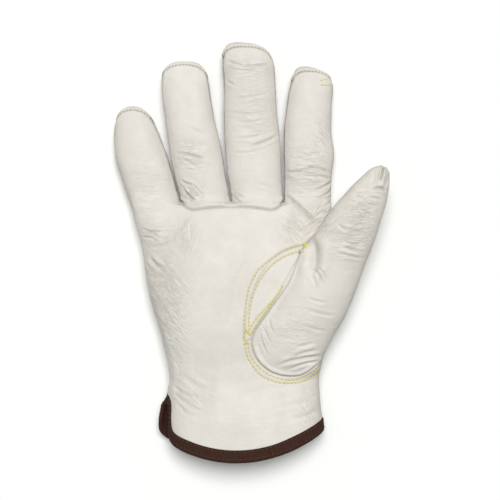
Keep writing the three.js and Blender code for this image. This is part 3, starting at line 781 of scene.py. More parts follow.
def gathers(points, facing):
    """Ridges that run along the hand where the elastic pulls, strongest on the back."""
    x, y = points[:, 0], points[:, 1]
    warp = waves(points, 22.0, 3) * 2.4 + waves(points, 7.0, 4) * 0.8
    ridge = np.cos(2 * np.pi * (x + warp) / GATHERS["pitch"])
    ridge = 0.7 * ridge + 0.35 * np.cos(2 * np.pi * (x + 2 * warp) / GATHERS["pitch"] * 1.9)
    ridge += 0.2 * np.cos(2 * np.pi * (x + 1.6 * warp) / GATHERS["pitch"] * 3.1)
    fade = np.exp(-(((y - GATHERS["y"]) / GATHERS["reach"]) ** 2))
    pinch = GATHERS["pinch"] * np.exp(-(((y - GATHERS["y"]) / GATHERS["pinch_reach"]) ** 2))
    over = 0.10 + 0.90 * ease(-facing, -0.2, 0.6)
    return GATHERS["depth"] * ridge * fade * over - pinch * ease(-facing, 0.1, 0.7)


# %% Measure the seams
skin.normal_update()
skin.verts.ensure_lookup_table()
skin.faces.ensure_lookup_table()
skin.verts.index_update()
skin.faces.index_update()
points = np.array([v.co for v in skin.verts])
normals = np.array([v.normal for v in skin.verts])
seam_samples, seam_pairs = [], []
for edge in skin.edges:
    if len(edge.link_faces) == 2:
        first, second = sorted(label[face.index] for face in edge.link_faces)
        if first != second:
            a, b = edge.verts
            seam_samples += [a.co.lerp(b.co, part) for part in (0.0, 0.33, 0.67, 1.0)]
            seam_pairs += [(PANELS[first], PANELS[second])] * 4
tree = KDTree(len(seam_samples))
for k, place in enumerate(seam_samples):
    tree.insert(place, k)
tree.balance()
nearest = [tree.find(v.co) for v in skin.verts]
seam_distance = np.array([min(found[2], 12.0) for found in nearest])
own = [PANELS[label[v.link_faces[0].index]] for v in skin.verts]
tips = np.array([FINGERS[name]["y"][-1] for name in ORDER])
finger_of = np.argmin([finger_field(name, *points.T) for name in ORDER], axis=0)
near_tip = (points[:, 1] > tips[finger_of] - 9) & (points[:, 0] < 60)
print(len(seam_samples), "places along the seams")


def seam_look(pair, panel, at_tip):
    """How one side of a seam is rolled."""
    if pair in ROLLED_PAIRS:
        return "rolled" if ROLLED_PAIRS[pair] == panel else "welt" if panel == "thumb_gusset" else "under"
    if pair == LAPPED_PAIR:
        return "lapped"
    return "tip" if at_tip else "plain"


looks = [seam_look(seam_pairs[found[1]], panel, tip) for found, panel, tip in zip(nearest, own, near_tip)]
edge_ends = np.array([[v.index for v in e.verts] for e in skin.edges])
degree = np.bincount(edge_ends.ravel(), minlength=len(points))


def evened(values, rounds):
    """Averages a value over neighbouring vertices."""
    for _ in range(rounds):
        near = np.bincount(edge_ends[:, 0], values[edge_ends[:, 1]], len(values))
        near += np.bincount(edge_ends[:, 1], values[edge_ends[:, 0]], len(values))
        values = 0.4 * values + 0.6 * near / degree
    return values


groove, width, puff, puff_at, spread, shade = (
    evened(np.array([SEAM_LOOKS[look][name] for look in looks]), 4)
    for name in ("groove", "width", "puff", "at", "spread", "shade")
)

# %% Add the relief
facing = normals[:, 2]
rows_up = np.min([line_distance(line, points[:, 0], points[:, 1]) for line in PALM_ROWS.values()], axis=0)
rows_down = np.min([line_distance(line, points[:, 0], points[:, 1]) for line in BACK_ROWS.values()], axis=0)
row_distance = np.where(facing > 0.1, rows_up, np.where(facing < -0.1, rows_down, 9.0))
row = np.exp(-((row_distance / ROW_DIMPLE["width"]) ** 2))
flattened = 1 - 0.8 * ease(points[:, 0], 34, 43) * ease(-points[:, 1], 48, 60)
puff, groove = puff * flattened, groove * flattened
rolled = puff * np.exp(-(((seam_distance - puff_at) / spread) ** 2))
rolled = rolled - groove * np.exp(-((seam_distance / width) ** 2))
pucker = waves(points, 2.6, 1) * 0.36 * np.exp(-seam_distance / 2.4) * (puff > 0.2)
folded, sharp = fold_relief(points, facing)
folded += crumple(points, facing)
soft = waves(points, 24.0, 7) * 0.6 + waves(points, 9.0, 9) * 0.2
on_floor = ease(2.0 - points[:, 2], 0, 1.5)
relief = rolled + pucker + folded - ROW_DIMPLE["depth"] * row
relief += (soft + gathers(points, facing)) * (1 - 0.8 * on_floor)
shaped = points + normals * relief[:, None]
shaped[:, 2] = np.maximum(shaped[:, 2], 0.0)
# painted shade: the colour darkens in the seams' grooves, along the stitch rows and in the narrow folds,
# where shade falls
painted_shade = shade * np.exp(-((seam_distance / (0.9 * width)) ** 2)) + ROW_DIMPLE["shade"] * row
painted_shade = np.clip(painted_shade + 0.4 * np.clip(sharp - 0.15, 0, 0.9), 0, 1)
for vertex, place in zip(skin.verts, shaped):
    vertex.co = place
skin.normal_update()
normals = np.array([v.normal for v in skin.verts])
print("relief from", round(relief.min(), 2), "to", round(relief.max(), 2), "mm")

# %% [markdown]
# ## Materials
#
# The leather is one procedural material: a pebbled grain of small cells, a slow change of tone, and
# painted shade, a darker line where a seam or crease takes the light away. Its inside is brushed. The tape is
# woven in fine ribs across its length with painted shade between them, and the thread is twisted with painted
# shade between its plies. Hair-thin creases follow an attribute for each way that they run, so they show only
# where the leather is slack, as bumps and as painted shade.

# %% Materials
def new_material(name):
    material = bpy.data.materials.new(name)
    material.use_nodes = True
    nodes = material.node_tree.nodes
    shader = nodes["Principled BSDF"]
    return material, nodes, material.node_tree.links, shader


def noise_node(nodes, links, place, scale, detail=4.0, roughness=0.5):
    node = nodes.new("ShaderNodeTexNoise")
    node.inputs["Scale"].default_value = scale
    node.inputs["Detail"].default_value = detail
    node.inputs["Roughness"].default_value = roughness
    links.new(place, node.inputs["Vector"])
    return node.outputs["Fac"]


def map_value(nodes, links, value, low, high, out_low, out_high):
    node = nodes.new("ShaderNodeMapRange")
    node.interpolation_type = "SMOOTHSTEP"
    for name, number in zip(("From Min", "From Max", "To Min", "To Max"), (low, high, out_low, out_high)):
        node.inputs[name].default_value = number
    links.new(value, node.inputs["Value"])
    return node.outputs["Result"]


def mixed(nodes, links, factor, a, b, blend="MIX"):
    """Mixes two colours. Each is a socket or a colour."""
    node = nodes.new("ShaderNodeMix")
    node.data_type = "RGBA"
    node.blend_type = blend
    for value, socket in ((factor, node.inputs[0]), (a, node.inputs[6]), (b, node.inputs[7])):
        if isinstance(value, bpy.types.NodeSocket):
            links.new(value, socket)
        elif isinstance(value, tuple):
            socket.default_value = (*value, 1.0)
        else:
            socket.default_value = value
    return node.outputs[2]


def bumped(nodes, links, height, strength, distance, before=None):
    node = nodes.new("ShaderNodeBump")
    node.inputs["Strength"].default_value = strength
    node.inputs["Distance"].default_value = distance
    links.new(height, node.inputs["Height"])
    if before is not None:
        links.new(before, node.inputs["Normal"])
    return node.outputs["Normal"]


def attribute_value(nodes, name):
    node = nodes.new("ShaderNodeAttribute")
    node.attribute_name = name
    return node.outputs["Fac"]


def calculated(nodes, links, operation, a, b):
    """One sum on two values. Each is a socket or a number."""
    node = nodes.new("ShaderNodeMath")
    node.operation = operation
    for value, socket in ((a, node.inputs[0]), (b, node.inputs[1])):
        if isinstance(value, bpy.types.NodeSocket):
            links.new(value, socket)
        else:
            socket.default_value = value
    return node.outputs[0]


def fine_creases(nodes, links, place):
    """Hair-thin wrinkles, each family along its own direction and only where the leather is slack."""
    total = 0.0
    for name, angle in CREASE_WAYS.items():
        turned = nodes.new("ShaderNodeMapping")
        turned.vector_type = "TEXTURE"
        turned.inputs["Rotation"].default_value = (0, 0, math.radians(angle))
        turned.inputs["Scale"].default_value = (0.0100, 0.0017, 0.0040)
        links.new(place, turned.inputs["Vector"])
        lines = noise_node(nodes, links, turned.outputs[0], 1.0, 3.0, 0.55)
        off = calculated(nodes, links, "ABSOLUTE", calculated(nodes, links, "SUBTRACT", lines, 0.5), 0.0)
        line = map_value(nodes, links, off, 0.0, 0.06, 1.0, 0.0)
        line = calculated(nodes, links, "MULTIPLY", line, attribute_value(nodes, name))
        total = calculated(nodes, links, "MAXIMUM", total, line)
    return total


def leather_material():
    material, nodes, links, shader = new_material("cream_leather")
    place = nodes.new("ShaderNodeTexCoord").outputs["Object"]
    creases = fine_creases(nodes, links, place)
    tone = noise_node(nodes, links, place, 26.0, 3.0)
    mottle = noise_node(nodes, links, place, 140.0, 5.0, 0.6)
    colour = mixed(nodes, links, map_value(nodes, links, tone, 0.35, 0.65, 0.0, 1.0),
                   (0.620, 0.590, 0.545), (0.650, 0.624, 0.585))
    colour = mixed(nodes, links, map_value(nodes, links, mottle, 0.3, 0.7, 0.0, 0.25),
                   colour, (0.575, 0.545, 0.490))
    # painted shade: the colour darkens towards brown in the fine creases and where the shade attribute marks
    # seams, rows and folds
    crease_shade = calculated(nodes, links, "MULTIPLY", creases, 0.13)
    shaded = calculated(nodes, links, "MAXIMUM", attribute_value(nodes, "shade"), crease_shade)
    colour = mixed(nodes, links, shaded, colour, (0.20, 0.17, 0.12))
    links.new(colour, shader.inputs["Base Color"])
    cells = nodes.new("ShaderNodeTexVoronoi")
    cells.feature = "SMOOTH_F1"
    cells.inputs["Scale"].default_value = 950.0
    cells.inputs["Smoothness"].default_value = 0.35
    links.new(place, cells.inputs["Vector"])
    wide = bumped(nodes, links, noise_node(nodes, links, place, 170.0, 7.0, 0.62), 0.7, 0.0006)
    smooth = calculated(nodes, links, "SUBTRACT", 1.0, creases)
    wrinkled = bumped(nodes, links, smooth, 1.0, 0.0003, wide)
    grain = bumped(nodes, links, cells.outputs["Distance"], 0.35, 0.00012, wrinkled)
    links.new(grain, shader.inputs["Normal"])
    rough = map_value(nodes, links, mottle, 0.3, 0.7, 0.50, 0.62)
    links.new(rough, shader.inputs["Roughness"])
    shader.inputs["Specular IOR Level"].default_value = 0.35
    return material


def inside_material():
    material, nodes, links, shader = new_material("brushed_inside")
    place = nodes.new("ShaderNodeTexCoord").outputs["Object"]
    fuzz = noise_node(nodes, links, place, 900.0, 4.0, 0.7)
    links.new(mixed(nodes, links, fuzz, (0.62, 0.58, 0.50), (0.74, 0.71, 0.64)), shader.inputs["Base Color"])
    links.new(bumped(nodes, links, fuzz, 0.6, 0.0004), shader.inputs["Normal"])
    shader.inputs["Roughness"].default_value = 0.95
    return material


LEATHER_LOOK = leather_material()
INSIDE_LOOK = inside_material()

# %% [markdown]
# ## The panels
#
# Each panel is the part of the skin with its label, given the leather's thickness inwards along the
# skin's own normals, so that two panels meet edge to edge at the bottom of their seam.

# %% Panels with their thickness
def in_frame(place):
    return ((place[0] + SHIFT) * MM, place[1] * MM, place[2] * MM)


def triangles(mesh):
    return sum(len(face.vertices) - 2 for face in mesh.polygons)


def with_coarser_inside(mesh, inner_points):
    """The unseen inner wall needs no folds of its own, so it keeps a quarter of its faces."""
    maker = bpy.data.objects.new(mesh.name + "_maker", mesh)
    bpy.context.collection.objects.link(maker)
    group = maker.vertex_groups.new(name="inner")
    group.add(inner_points, 1.0, "REPLACE")
    modifier = maker.modifiers.new("coarser", "DECIMATE")
    modifier.ratio = 0.62  # of both walls: the outer one whole and a quarter of the inner one
    modifier.vertex_group = "inner"
    coarse = bpy.data.meshes.new_from_object(maker.evaluated_get(bpy.context.evaluated_depsgraph_get()))
    bpy.data.objects.remove(maker)
    coarse.name = mesh.name
    return coarse


def make_panel(node, number):
    name = f"{node}_leather"
    faces = [f for f in skin.faces if label[f.index] == number]
    used = sorted({v.index for f in faces for v in f.verts})
    new_index = {old: new for new, old in enumerate(used)}
    count = len(used)
    outer = shaped[used]
    inner = outer - normals[used] * LEATHER
    outer_faces = [[new_index[v.index] for v in f.verts] for f in faces]
    inner_faces = [[count + k for k in reversed(face)] for face in outer_faces]
    directed = [pair for face in outer_faces for pair in zip(face, face[1:] + face[:1])]
    known = set(directed)
    rim = [(a, b) for a, b in directed if (b, a) not in known]
    sides = [[b, a, count + a, count + b] for a, b in rim]
    mesh = bpy.data.meshes.new(name)
    mesh.from_pydata([in_frame(p) for p in np.vstack([outer, inner])], [], outer_faces + inner_faces + sides)
    mesh.materials.append(LEATHER_LOOK)
    mesh.materials.append(INSIDE_LOOK)
    material = [0] * len(outer_faces) + [1] * len(inner_faces) + [0] * len(sides)
    mesh.polygons.foreach_set("material_index", material)
    mesh.shade_smooth()
    # the shade attribute carries the painted shade of seams, rows and folds to the material
    for title, values in (("shade", painted_shade), *creased.items()):
        attribute = mesh.attributes.new(title, "FLOAT", "POINT")
        attribute.data.foreach_set("value", np.tile(np.clip(values[used], 0, 1), 2).astype(np.float32))
    edge_set = {frozenset(pair) for pair in rim}
    sharp = [frozenset(e.vertices) in edge_set for e in mesh.edges]
    mesh.attributes.new("sharp_edge", "BOOLEAN", "EDGE").data.foreach_set("value", sharp)
    on_rim = {k for pair in rim for k in pair}
    mesh = with_coarser_inside(mesh, [count + k for k in range(count) if k not in on_rim])
    panel = bpy.data.objects.new(name, mesh)
    bpy.context.collection.objects.link(panel)
    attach(panel, "root")
    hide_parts(node)
    print(name, triangles(mesh), "triangles")


for number, node in enumerate(PANELS):
    make_panel(node, number)

# %% [markdown]
# ## The binding
#
# The cuff's raw edge and both edges of its vent are bound with one length of ribbed tape, folded over
# the leather and sewn through. The skin's free edge is one closed loop, so the tape is a folded section
# carried along it: up the outside, round the edge and up the inside. Inside the vent it reaches further,
# as the facing that shows through the slit.

# %% Follow the free edge of the skin
free = {e for e in skin.edges if len(e.link_faces) == 1}
start = next(iter(free))
loop = [start.verts[0], start.verts[1]]
left_over = set(free) - {start}
while loop[-1] is not loop[0]:
    edge = next(e for e in loop[-1].link_edges if e in left_over)
    left_over.discard(edge)
    loop.append(edge.other_vert(loop[-1]))
loop.pop()
print("free edge of", len(loop), "points,", len(left_over), "edges left over")


def resampled(line, step):
    """Points at equal steps along a closed line."""
    closed = np.vstack([line, line[:1]])
    lengths = np.concatenate(([0], np.cumsum(np.linalg.norm(np.diff(closed, axis=0), axis=1))))
    marks = np.arange(round(lengths[-1] / step)) * lengths[-1] / round(lengths[-1] / step)
    return np.array([np.interp(marks, lengths, closed[:, k]) for k in range(closed.shape[1])]).T


def smoothed(line, rounds):
    """Evens out a closed line."""
    for _ in range(rounds):
        line = 0.5 * line + 0.25 * (np.roll(line, 1, axis=0) + np.roll(line, -1, axis=0))
    return line


def unit(vectors):
    return vectors / np.maximum(np.linalg.norm(vectors, axis=1), 1e-9)[:, None]


edge_data = np.array([[*v.co, *v.normal, *(sum((f.calc_center_median() for f in v.link_faces), Vector())
                                           / len(v.link_faces) - v.co)] for v in loop])
edge_data = smoothed(resampled(edge_data, 1.0), 3)
edge_points, edge_normals = edge_data[:, :3], unit(edge_data[:, 3:6])
tangents = unit(np.roll(edge_points, -1, axis=0) - np.roll(edge_points, 1, axis=0))
inward = np.cross(edge_normals, tangents)
inward *= np.sign((inward * edge_data[:, 6:]).sum(axis=1))[:, None]
inward = unit(smoothed(inward, 2))
skin_tree = BVHTree.FromBMesh(skin)
print("hem's lowest point is at y", round(edge_points[:, 1].min(), 2))


# %% Fold the tape over it
def on_skin(place):
    """The nearest place on the skin, and the skin's normal there."""
    found = skin_tree.find_nearest(Vector(place))
    return np.array(found[0]), np.array(found[1])


def tape_ring(point, normal, into):
    """The tape's section at one place of the edge: its outer face and back along its inner face."""
    surface = [on_skin(point + into * distance)[0] for distance in np.linspace(TAPE_WIDTH, 0.0, 6)]
    in_vent = float(point[0] < -40) * ease(point[1], -121, -112)
    width = TAPE_INSIDE + (VENT_FACING - TAPE_INSIDE) * in_vent
    within = []
    for part in np.linspace(0.0, 1.0, 9):
        place, local = on_skin(point + into * width * part)
        facing_out = (1 - part) * normal + part * local
        within.append((place, facing_out / np.linalg.norm(facing_out)))
    centre = surface[-1] - normal * LEATHER / 2
    ring = []
    for stand, order in ((TAPE_STAND, 1), (0.05, -1)):
        outside = [place + normal * stand for place in surface]
        radius = LEATHER / 2 + stand
        turn = [centre + radius * (math.cos(a) * normal - math.sin(a) * into)
                for a in np.linspace(0, math.pi, 7)[1:-1]]
        inside = [place - facing_out * (LEATHER + stand) for place, facing_out in within]
        path = outside + turn + inside
        ring += path[::order]
    return ring


rings = [tape_ring(p, n, b) for p, n, b in zip(edge_points, edge_normals, inward)]
per_ring, ring_count = len(rings[0]), len(rings)
tape_mesh = bpy.data.meshes.new("cuff_tape")
tape_faces = [
    [r * per_ring + k, ((r + 1) % ring_count) * per_ring + k,
     ((r + 1) % ring_count) * per_ring + (k + 1) % per_ring, r * per_ring + (k + 1) % per_ring]
    for r in range(ring_count) for k in range(per_ring)
]
tape_mesh.from_pydata([in_frame(p) for ring in rings for p in ring], [], tape_faces)
uv = tape_mesh.uv_layers.new(name="tape")
corners = [(r + dr, k + dk) for r in range(ring_count) for k in range(per_ring)
           for dr, dk in ((0, 0), (1, 0), (1, 1), (0, 1))]
uv.data.foreach_set("uv", [float(value) for corner in corners for value in corner])
shape = bmesh.new()
shape.from_mesh(tape_mesh)
bmesh.ops.recalc_face_normals(shape, faces=shape.faces)
shape.to_mesh(tape_mesh)
shape.free()
tape_mesh.shade_smooth()
tape = bpy.data.objects.new("cuff_tape", tape_mesh)
bpy.context.collection.objects.link(tape)


RIB_PITCH = 1.15  # from one rib of the tape to the next, counted in its rings


def tape_material():
    material, nodes, links, shader = new_material("ribbed_tape")
    place = nodes.new("ShaderNodeUVMap")
    place.uv_map = "tape"
    parts = nodes.new("ShaderNodeSeparateXYZ")
    links.new(place.outputs["UV"], parts.inputs[0])
    turns = calculated(nodes, links, "MULTIPLY", parts.outputs["X"], 2 * math.pi / RIB_PITCH)
    rib = map_value(nodes, links, calculated(nodes, links, "SINE", turns, 0.0), -1.0, 1.0, 0.0, 1.0)
    objects = nodes.new("ShaderNodeTexCoord").outputs["Object"]
    fibre = noise_node(nodes, links, objects, 1400.0, 3.0, 0.6)
    # painted shade: the tape's colour darkens in the valleys between the ribs, in step with their bump
    dark = mixed(nodes, links, rib, (0.013, 0.0040, 0.0026), (0.054, 0.0200, 0.0122))
    links.new(mixed(nodes, links, map_value(nodes, links, fibre, 0.35, 0.75, 0.0, 0.4), dark,
                    (0.085, 0.038, 0.024)), shader.inputs["Base Color"])
    first = bumped(nodes, links, rib, 0.8, 0.00025)
    links.new(bumped(nodes, links, fibre, 0.3, 0.00008, first), shader.inputs["Normal"])
    shader.inputs["Roughness"].default_value = 0.8
    shader.inputs["Specular IOR Level"].default_value = 0.2
    return material


tape_mesh.materials.append(tape_material())
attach(tape, "root")
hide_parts("cuff_binding")

# %% [markdown]
# ## Thread
#
# A lockstitch shows as a row of short arches of thread, each going down into its needle holes. One
# Geometry Nodes tree lays them: it divides a path into equal steps, stands an arched stitch on each
# step, turned along the path and level with the leather, and varies them a little. Bar tacks are the
# same stitches laid close together and turned across their path. The same tree sews the seams over the
# fingertips and the tape's two rows.

# %% A tree that sews along a path
STITCH_INPUTS = {"Pitch": 0.0024, "Length": 0.00135, "Thread": 0.00037, "Sink": 0.0004, "Turn": 0.0}


def stitch_tree(material):
    tree = bpy.data.node_groups.new("row_of_stitches", "GeometryNodeTree")
    tree.interface.new_socket("Geometry", in_out="INPUT", socket_type="NodeSocketGeometry")
    for name, value in STITCH_INPUTS.items():
        tree.interface.new_socket(name, in_out="INPUT", socket_type="NodeSocketFloat").default_value = value
    tree.interface.new_socket("Geometry", in_out="OUTPUT", socket_type="NodeSocketGeometry")
    nodes, links = tree.nodes, tree.links
    given, result = nodes.new("NodeGroupInput"), nodes.new("NodeGroupOutput")

    def scaled(name, factor):
        node = nodes.new("ShaderNodeMath")
        node.operation = "MULTIPLY"
        node.inputs[1].default_value = factor
        links.new(given.outputs[name], node.inputs[0])
        return node.outputs[0]

    def point(x, z):
        node = nodes.new("ShaderNodeCombineXYZ")
        if x is not None:
            links.new(x, node.inputs["X"])
        links.new(z, node.inputs["Z"])
        return node.outputs[0]

    path = nodes.new("GeometryNodeMeshToCurve")
    links.new(given.outputs["Geometry"], path.inputs["Mesh"])
    steps = nodes.new("GeometryNodeResampleCurve")
    steps.mode = "LENGTH"
    links.new(path.outputs[0], steps.inputs["Curve"])
    links.new(given.outputs["Pitch"], steps.inputs["Length"])

    arch = nodes.new("GeometryNodeCurveQuadraticBezier")
    arch.inputs["Resolution"].default_value = 7
    down = scaled("Sink", -1.0)
    links.new(point(scaled("Length", -0.5), down), arch.inputs["Start"])
    links.new(point(None, scaled("Thread", 1.9)), arch.inputs["Middle"])
    links.new(point(scaled("Length", 0.5), down), arch.inputs["End"])
    along = nodes.new("GeometryNodeSplineParameter")
    ply = nodes.new("GeometryNodeStoreNamedAttribute")
    ply.data_type, ply.domain = "FLOAT", "POINT"
    ply.inputs["Name"].default_value = "ply"
    links.new(arch.outputs[0], ply.inputs["Geometry"])
    links.new(along.outputs["Factor"], ply.inputs["Value"])
    section = nodes.new("GeometryNodeCurvePrimitiveCircle")
    section.inputs["Resolution"].default_value = 7
    links.new(given.outputs["Thread"], section.inputs["Radius"])
    stitch = nodes.new("GeometryNodeCurveToMesh")
    stitch.inputs["Fill Caps"].default_value = True
    links.new(ply.outputs[0], stitch.inputs["Curve"])
    links.new(section.outputs[0], stitch.inputs["Profile Curve"])

    tangent = nodes.new("GeometryNodeInputTangent")
    up = nodes.new("GeometryNodeInputNamedAttribute")
    up.data_type = "FLOAT_VECTOR"
    up.inputs["Name"].default_value = "up"
    aim = nodes.new("FunctionNodeAlignRotationToVector")
    aim.axis = "X"
    links.new(tangent.outputs[0], aim.inputs["Vector"])
    level = nodes.new("FunctionNodeAlignRotationToVector")
    level.axis, level.pivot_axis = "Z", "X"
    links.new(aim.outputs[0], level.inputs["Rotation"])
    links.new(up.outputs[0], level.inputs["Vector"])
    turn = nodes.new("FunctionNodeRotateRotation")
    turn.rotation_space = "LOCAL"
    angle = nodes.new("FunctionNodeAxisAngleToRotation")
    links.new(level.outputs[0], turn.inputs["Rotation"])
    links.new(given.outputs["Turn"], angle.inputs["Angle"])
    links.new(angle.outputs[0], turn.inputs["Rotate By"])
    vary = nodes.new("FunctionNodeRandomValue")
    vary.data_type = "FLOAT_VECTOR"
    vary.inputs["Min"].default_value = (0.9, 0.88, 0.9)
    vary.inputs["Max"].default_value = (1.08, 1.1, 1.1)
    vary.inputs["Seed"].default_value = 11
    laid = nodes.new("GeometryNodeInstanceOnPoints")
    links.new(steps.outputs[0], laid.inputs["Points"])
    links.new(stitch.outputs[0], laid.inputs["Instance"])
    links.new(turn.outputs[0], laid.inputs["Rotation"])
    links.new(vary.outputs[0], laid.inputs["Scale"])
    real = nodes.new("GeometryNodeRealizeInstances")
    finish = nodes.new("GeometryNodeSetMaterial")
    finish.inputs["Material"].default_value = material
    links.new(laid.outputs[0], real.inputs[0])
    links.new(real.outputs[0], finish.inputs["Geometry"])
    links.new(finish.outputs[0], result.inputs[0])
    return tree


def thread_material(name, colour, dark, sheen=0.2):
    material, nodes, links, shader = new_material(name)
    ply = nodes.new("ShaderNodeAttribute")
    ply.attribute_name = "ply"
    wave = nodes.new("ShaderNodeTexWave")
    wave.inputs["Scale"].default_value = 1.6
    wave.inputs["Distortion"].default_value = 0.0
    place = nodes.new("ShaderNodeCombineXYZ")
    links.new(ply.outputs["Fac"], place.inputs["X"])
    links.new(place.outputs[0], wave.inputs["Vector"])
    hair = noise_node(nodes, links, nodes.new("ShaderNodeTexCoord").outputs["Object"], 2600.0, 2.0)
    # painted shade between the twisted plies, darker in step with their bump
    ply_shade = map_value(nodes, links, wave.outputs["Fac"], 0.0, 1.0, 0.0, 0.75)
    colour = mixed(nodes, links, ply_shade, colour, dark)
    colour = mixed(nodes, links, map_value(nodes, links, hair, 0.3, 0.7, 0.0, 0.35), colour, dark)
    links.new(colour, shader.inputs["Base Color"])
    links.new(bumped(nodes, links, wave.outputs["Fac"], 0.6, 0.0001), shader.inputs["Normal"])
    shader.inputs["Roughness"].default_value = 0.5
    shader.inputs["Sheen Weight"].default_value = sheen
    return material


YELLOW_THREAD = thread_material("yellow_thread", (0.76, 0.67, 0.20), (0.54, 0.46, 0.10))
GREY_THREAD = thread_material("grey_thread", (0.42, 0.40, 0.33), (0.24, 0.22, 0.17))
BROWN_THREAD = thread_material("brown_thread", (0.085, 0.045, 0.030), (0.030, 0.013, 0.009), sheen=0.0)
TREES = {look: stitch_tree(look) for look in (YELLOW_THREAD, GREY_THREAD, BROWN_THREAD)}


def laid_on_skin(line, from_side):
    """Drops a line in plan onto the skin, from above the palm (1) or from under the back (-1)."""
    placed = []
    for x, y in line:
        hit, normal, _, _ = skin_tree.ray_cast(Vector((x, y, 80.0 * from_side)), Vector((0, 0, -from_side)))
        if hit is not None:
            placed.append((*hit, *normal))
    placed = np.array(placed)
    middle = placed[1:-1]
    middle[:, 3:] = (placed[:-2, 3:] + 2 * placed[1:-1, 3:] + placed[2:, 3:]) / 4
    return placed


def sew(name, lines, look, **inputs):
    """Sews stitches along lines of places and normals, and returns them as one plain mesh."""
    path = bpy.data.meshes.new(name + "_path")
    places = [in_frame(p[:3] + 0.16 * p[3:]) for line in lines for p in line]
    starts = np.cumsum([0] + [len(line) for line in lines])
    edges = [(k, k + 1) for a, b in zip(starts, starts[1:]) for k in range(a, b - 1)]
    path.from_pydata(places, edges, [])
    ups = path.attributes.new("up", "FLOAT_VECTOR", "POINT")
    ups.data.foreach_set("vector", np.vstack([line[:, 3:] for line in lines]).ravel().astype(np.float32))
    maker = bpy.data.objects.new(name + "_maker", path)
    bpy.context.collection.objects.link(maker)
    modifier = maker.modifiers.new("stitches", "NODES")
    modifier.node_group = TREES[look]
    for item in modifier.node_group.interface.items_tree:
        if item.in_out == "INPUT" and item.name in inputs:
            modifier[item.identifier] = float(inputs[item.name])
    evaluated = maker.evaluated_get(bpy.context.evaluated_depsgraph_get())
    mesh = bpy.data.meshes.new_from_object(evaluated)
    bpy.data.objects.remove(maker)
    mesh.name = name
    mesh.shade_smooth()
    thread = bpy.data.objects.new(name, mesh)
    bpy.context.collection.objects.link(thread)
    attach(thread, "root")
    print(name, len(mesh.polygons), "faces")
    return thread


# %% Sew the rows, the bar tacks and the fingertips
def zigzag_legs():
    """The legs of the elastic's zigzag, each a line of its own and a little short of its corners."""
    legs = []
    for start, end in zip(BACK_ROWS["elastic"], BACK_ROWS["elastic"][1:]):
        part = np.linspace(0.11, 0.89, 10)[:, None]
        legs.append(laid_on_skin(start + part * (end - start), -1))
    return legs


round_rows = [laid_on_skin(line, 1) for name, line in PALM_ROWS.items() if "across" not in name]
cross_rows = [laid_on_skin(line, 1) for name, line in PALM_ROWS.items() if "across" in name]
sew("palm_stitching", round_rows, YELLOW_THREAD)
sew("crossing_stitching", cross_rows, YELLOW_THREAD, Length=0.0021, Thread=0.00034)
sew("elastic_stitching", zigzag_legs(), YELLOW_THREAD, Pitch=0.0021, Length=0.0018, Thread=0.00025)
sew("thumb_wrap_stitching", [laid_on_skin(BACK_ROWS["thumb_wrap"], -1)], YELLOW_THREAD, Thread=0.00022)
BAR_TACKS = [
    ((34.4, 5.2), (32.8, 2.6)),
    ((-2.0, -46.6), (0.4, -49.0)),
    ((-3.4, -52.0), (-1.2, -53.8)),
]
TIP_TACKS = [((43.8, 104.0), (47.6, 104.8)), ((43.9, 101.0), (49.2, 101.2))]
tacks = [laid_on_skin(np.linspace(start, end, 8), 1) for start, end in BAR_TACKS]
sew("bar_tacks", tacks, YELLOW_THREAD, Pitch=0.00055, Length=0.0022, Thread=0.00026, Turn=math.pi / 2)
tip_tacks = [laid_on_skin(np.linspace(start, end, 6), 1) for start, end in TIP_TACKS]
sew("tip_tacks", tip_tacks, YELLOW_THREAD, Pitch=0.0015, Length=0.0012, Thread=0.00027)


def tip_arc(k, name):
    """The seam round one fingertip, in order from side to side."""
    tip = FINGERS[name]["y"][-1]
    found = set()
    for edge in skin.edges:
        on_tip = all(finger_of[v.index] == k and near_tip[v.index] for v in edge.verts)
        if on_tip and len(edge.link_faces) == 2:
            pair = {PANELS[label[face.index]] for face in edge.link_faces}
            if len(pair) == 2 and "back_panel" in pair and points[edge.verts[0].index][2] > 11.4:
                found.update(v.index for v in edge.verts)
    middle = (centre_x(name, tip - 10), tip - 10)
    order = sorted(found, key=lambda v: math.atan2(points[v][0] - middle[0], points[v][1] - middle[1]))
    return np.hstack([shaped[order] + 0.55 * normals[order], normals[order]])


arcs = [tip_arc(k, name) for k, name in enumerate(ORDER)]
sew("fingertip_stitching", arcs, GREY_THREAD, Pitch=0.0021, Length=0.0017, Thread=0.00026, Turn=math.pi / 2)


def along_tape(distance):
    """A closed line on the tape's outer face, at a distance from the fold at the hem."""
    line = [np.hstack([on_skin(point + into * distance)[0] + normal * TAPE_STAND, normal])
            for point, normal, into in zip(edge_points, edge_normals, inward)]
    return np.array(line + line[:1])


TAPE_ROWS = (1.1, 5.5)  # from the fold at the hem
tape_rows = [along_tape(distance) for distance in TAPE_ROWS]
sew("binding_stitching", tape_rows, BROWN_THREAD, Pitch=0.0027, Length=0.0015, Thread=0.00019)

# %% [markdown]
# ## Floor, light and camera
#
# The photo is a cut-out on white, lit softly from the camera's side, so that the forms darken towards
# their edges. The glove lies on a plain pale floor, seen from straight above. The camera sees a paler
# floor than the light does, so that less light is thrown back at the glove's sides.

# %% Stage
def soft_sun(name, towards, strength, softness):
    """A distant light, as even over the whole floor as a studio's large softbox is near the glove."""
    data = bpy.data.lights.new(name, "SUN")
    data.energy = strength
    data.angle = math.radians(softness)
    light = bpy.data.objects.new(name, data)
    light.rotation_euler = Vector(towards).to_track_quat("-Z", "Y").to_euler()
    bpy.context.collection.objects.link(light)


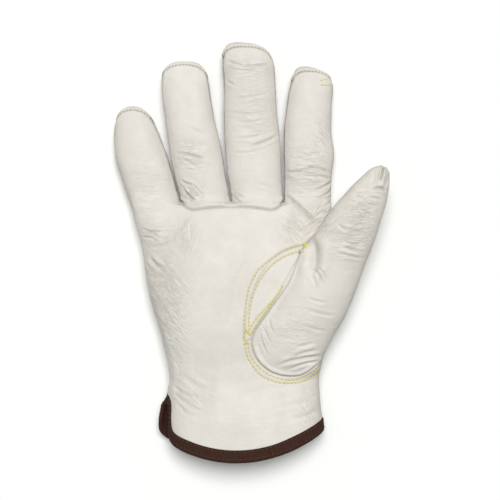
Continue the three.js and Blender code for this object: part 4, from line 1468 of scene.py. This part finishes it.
FLOOR_HALF = 6.0
floor_mesh = bpy.data.meshes.new("floor")
floor_corners = [(x * FLOOR_HALF, y * FLOOR_HALF, 0.0) for x, y in ((-1, -1), (1, -1), (1, 1), (-1, 1))]
floor_mesh.from_pydata(floor_corners, [], [(0, 1, 2, 3)])
floor_look, floor_nodes, floor_links, floor_shader = new_material("pale_floor")
shown = floor_nodes.new("ShaderNodeLightPath").outputs["Is Camera Ray"]
floor_links.new(mixed(floor_nodes, floor_links, shown, (0.52, 0.52, 0.48), (0.84, 0.84, 0.835)),
                floor_shader.inputs["Base Color"])
floor_shader.inputs["Roughness"].default_value = 0.9
floor_mesh.materials.append(floor_look)
floor = bpy.data.objects.new("floor", floor_mesh)
bpy.context.collection.objects.link(floor)
soft_sun("key", (-0.04, -0.34, -1.0), 3.10, 30.0)
soft_sun("fill", (0.50, 0.05, -0.8), 0.18, 60.0)
floor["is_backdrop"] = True

world = bpy.data.worlds.new("studio")
bpy.context.scene.world = world
bpy.context.scene.view_settings.view_transform = "Standard"
world.use_nodes = True
sky, sky_links = world.node_tree.nodes, world.node_tree.links
seen_directly = sky.new("ShaderNodeLightPath")
backdrop = sky.new("ShaderNodeBackground")
backdrop.inputs["Color"].default_value = (1.0, 1.0, 0.995, 1)
sky["Background"].inputs["Color"].default_value = (0.97, 0.99, 0.90, 1)
sky["Background"].inputs["Strength"].default_value = 0.24
either = sky.new("ShaderNodeMixShader")
sky_links.new(seen_directly.outputs["Is Camera Ray"], either.inputs[0])
sky_links.new(sky["Background"].outputs[0], either.inputs[1])
sky_links.new(backdrop.outputs[0], either.inputs[2])
sky_links.new(either.outputs[0], sky["World Output"].inputs["Surface"])

# %% Camera
camera_data = bpy.data.cameras.new("camera")
camera_data.lens = 100
camera_data.sensor_width = 36
camera = bpy.data.objects.new("camera", camera_data)
low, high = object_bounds()
FRAMED = 1.16
distance = (high.y - low.y) * FRAMED * camera_data.lens / camera_data.sensor_width
camera.location = ((low.x + high.x) / 2, (low.y + high.y) / 2, high.z + distance)
camera.rotation_euler = (0, 0, 0)
bpy.context.collection.objects.link(camera)
bpy.context.scene.camera = camera
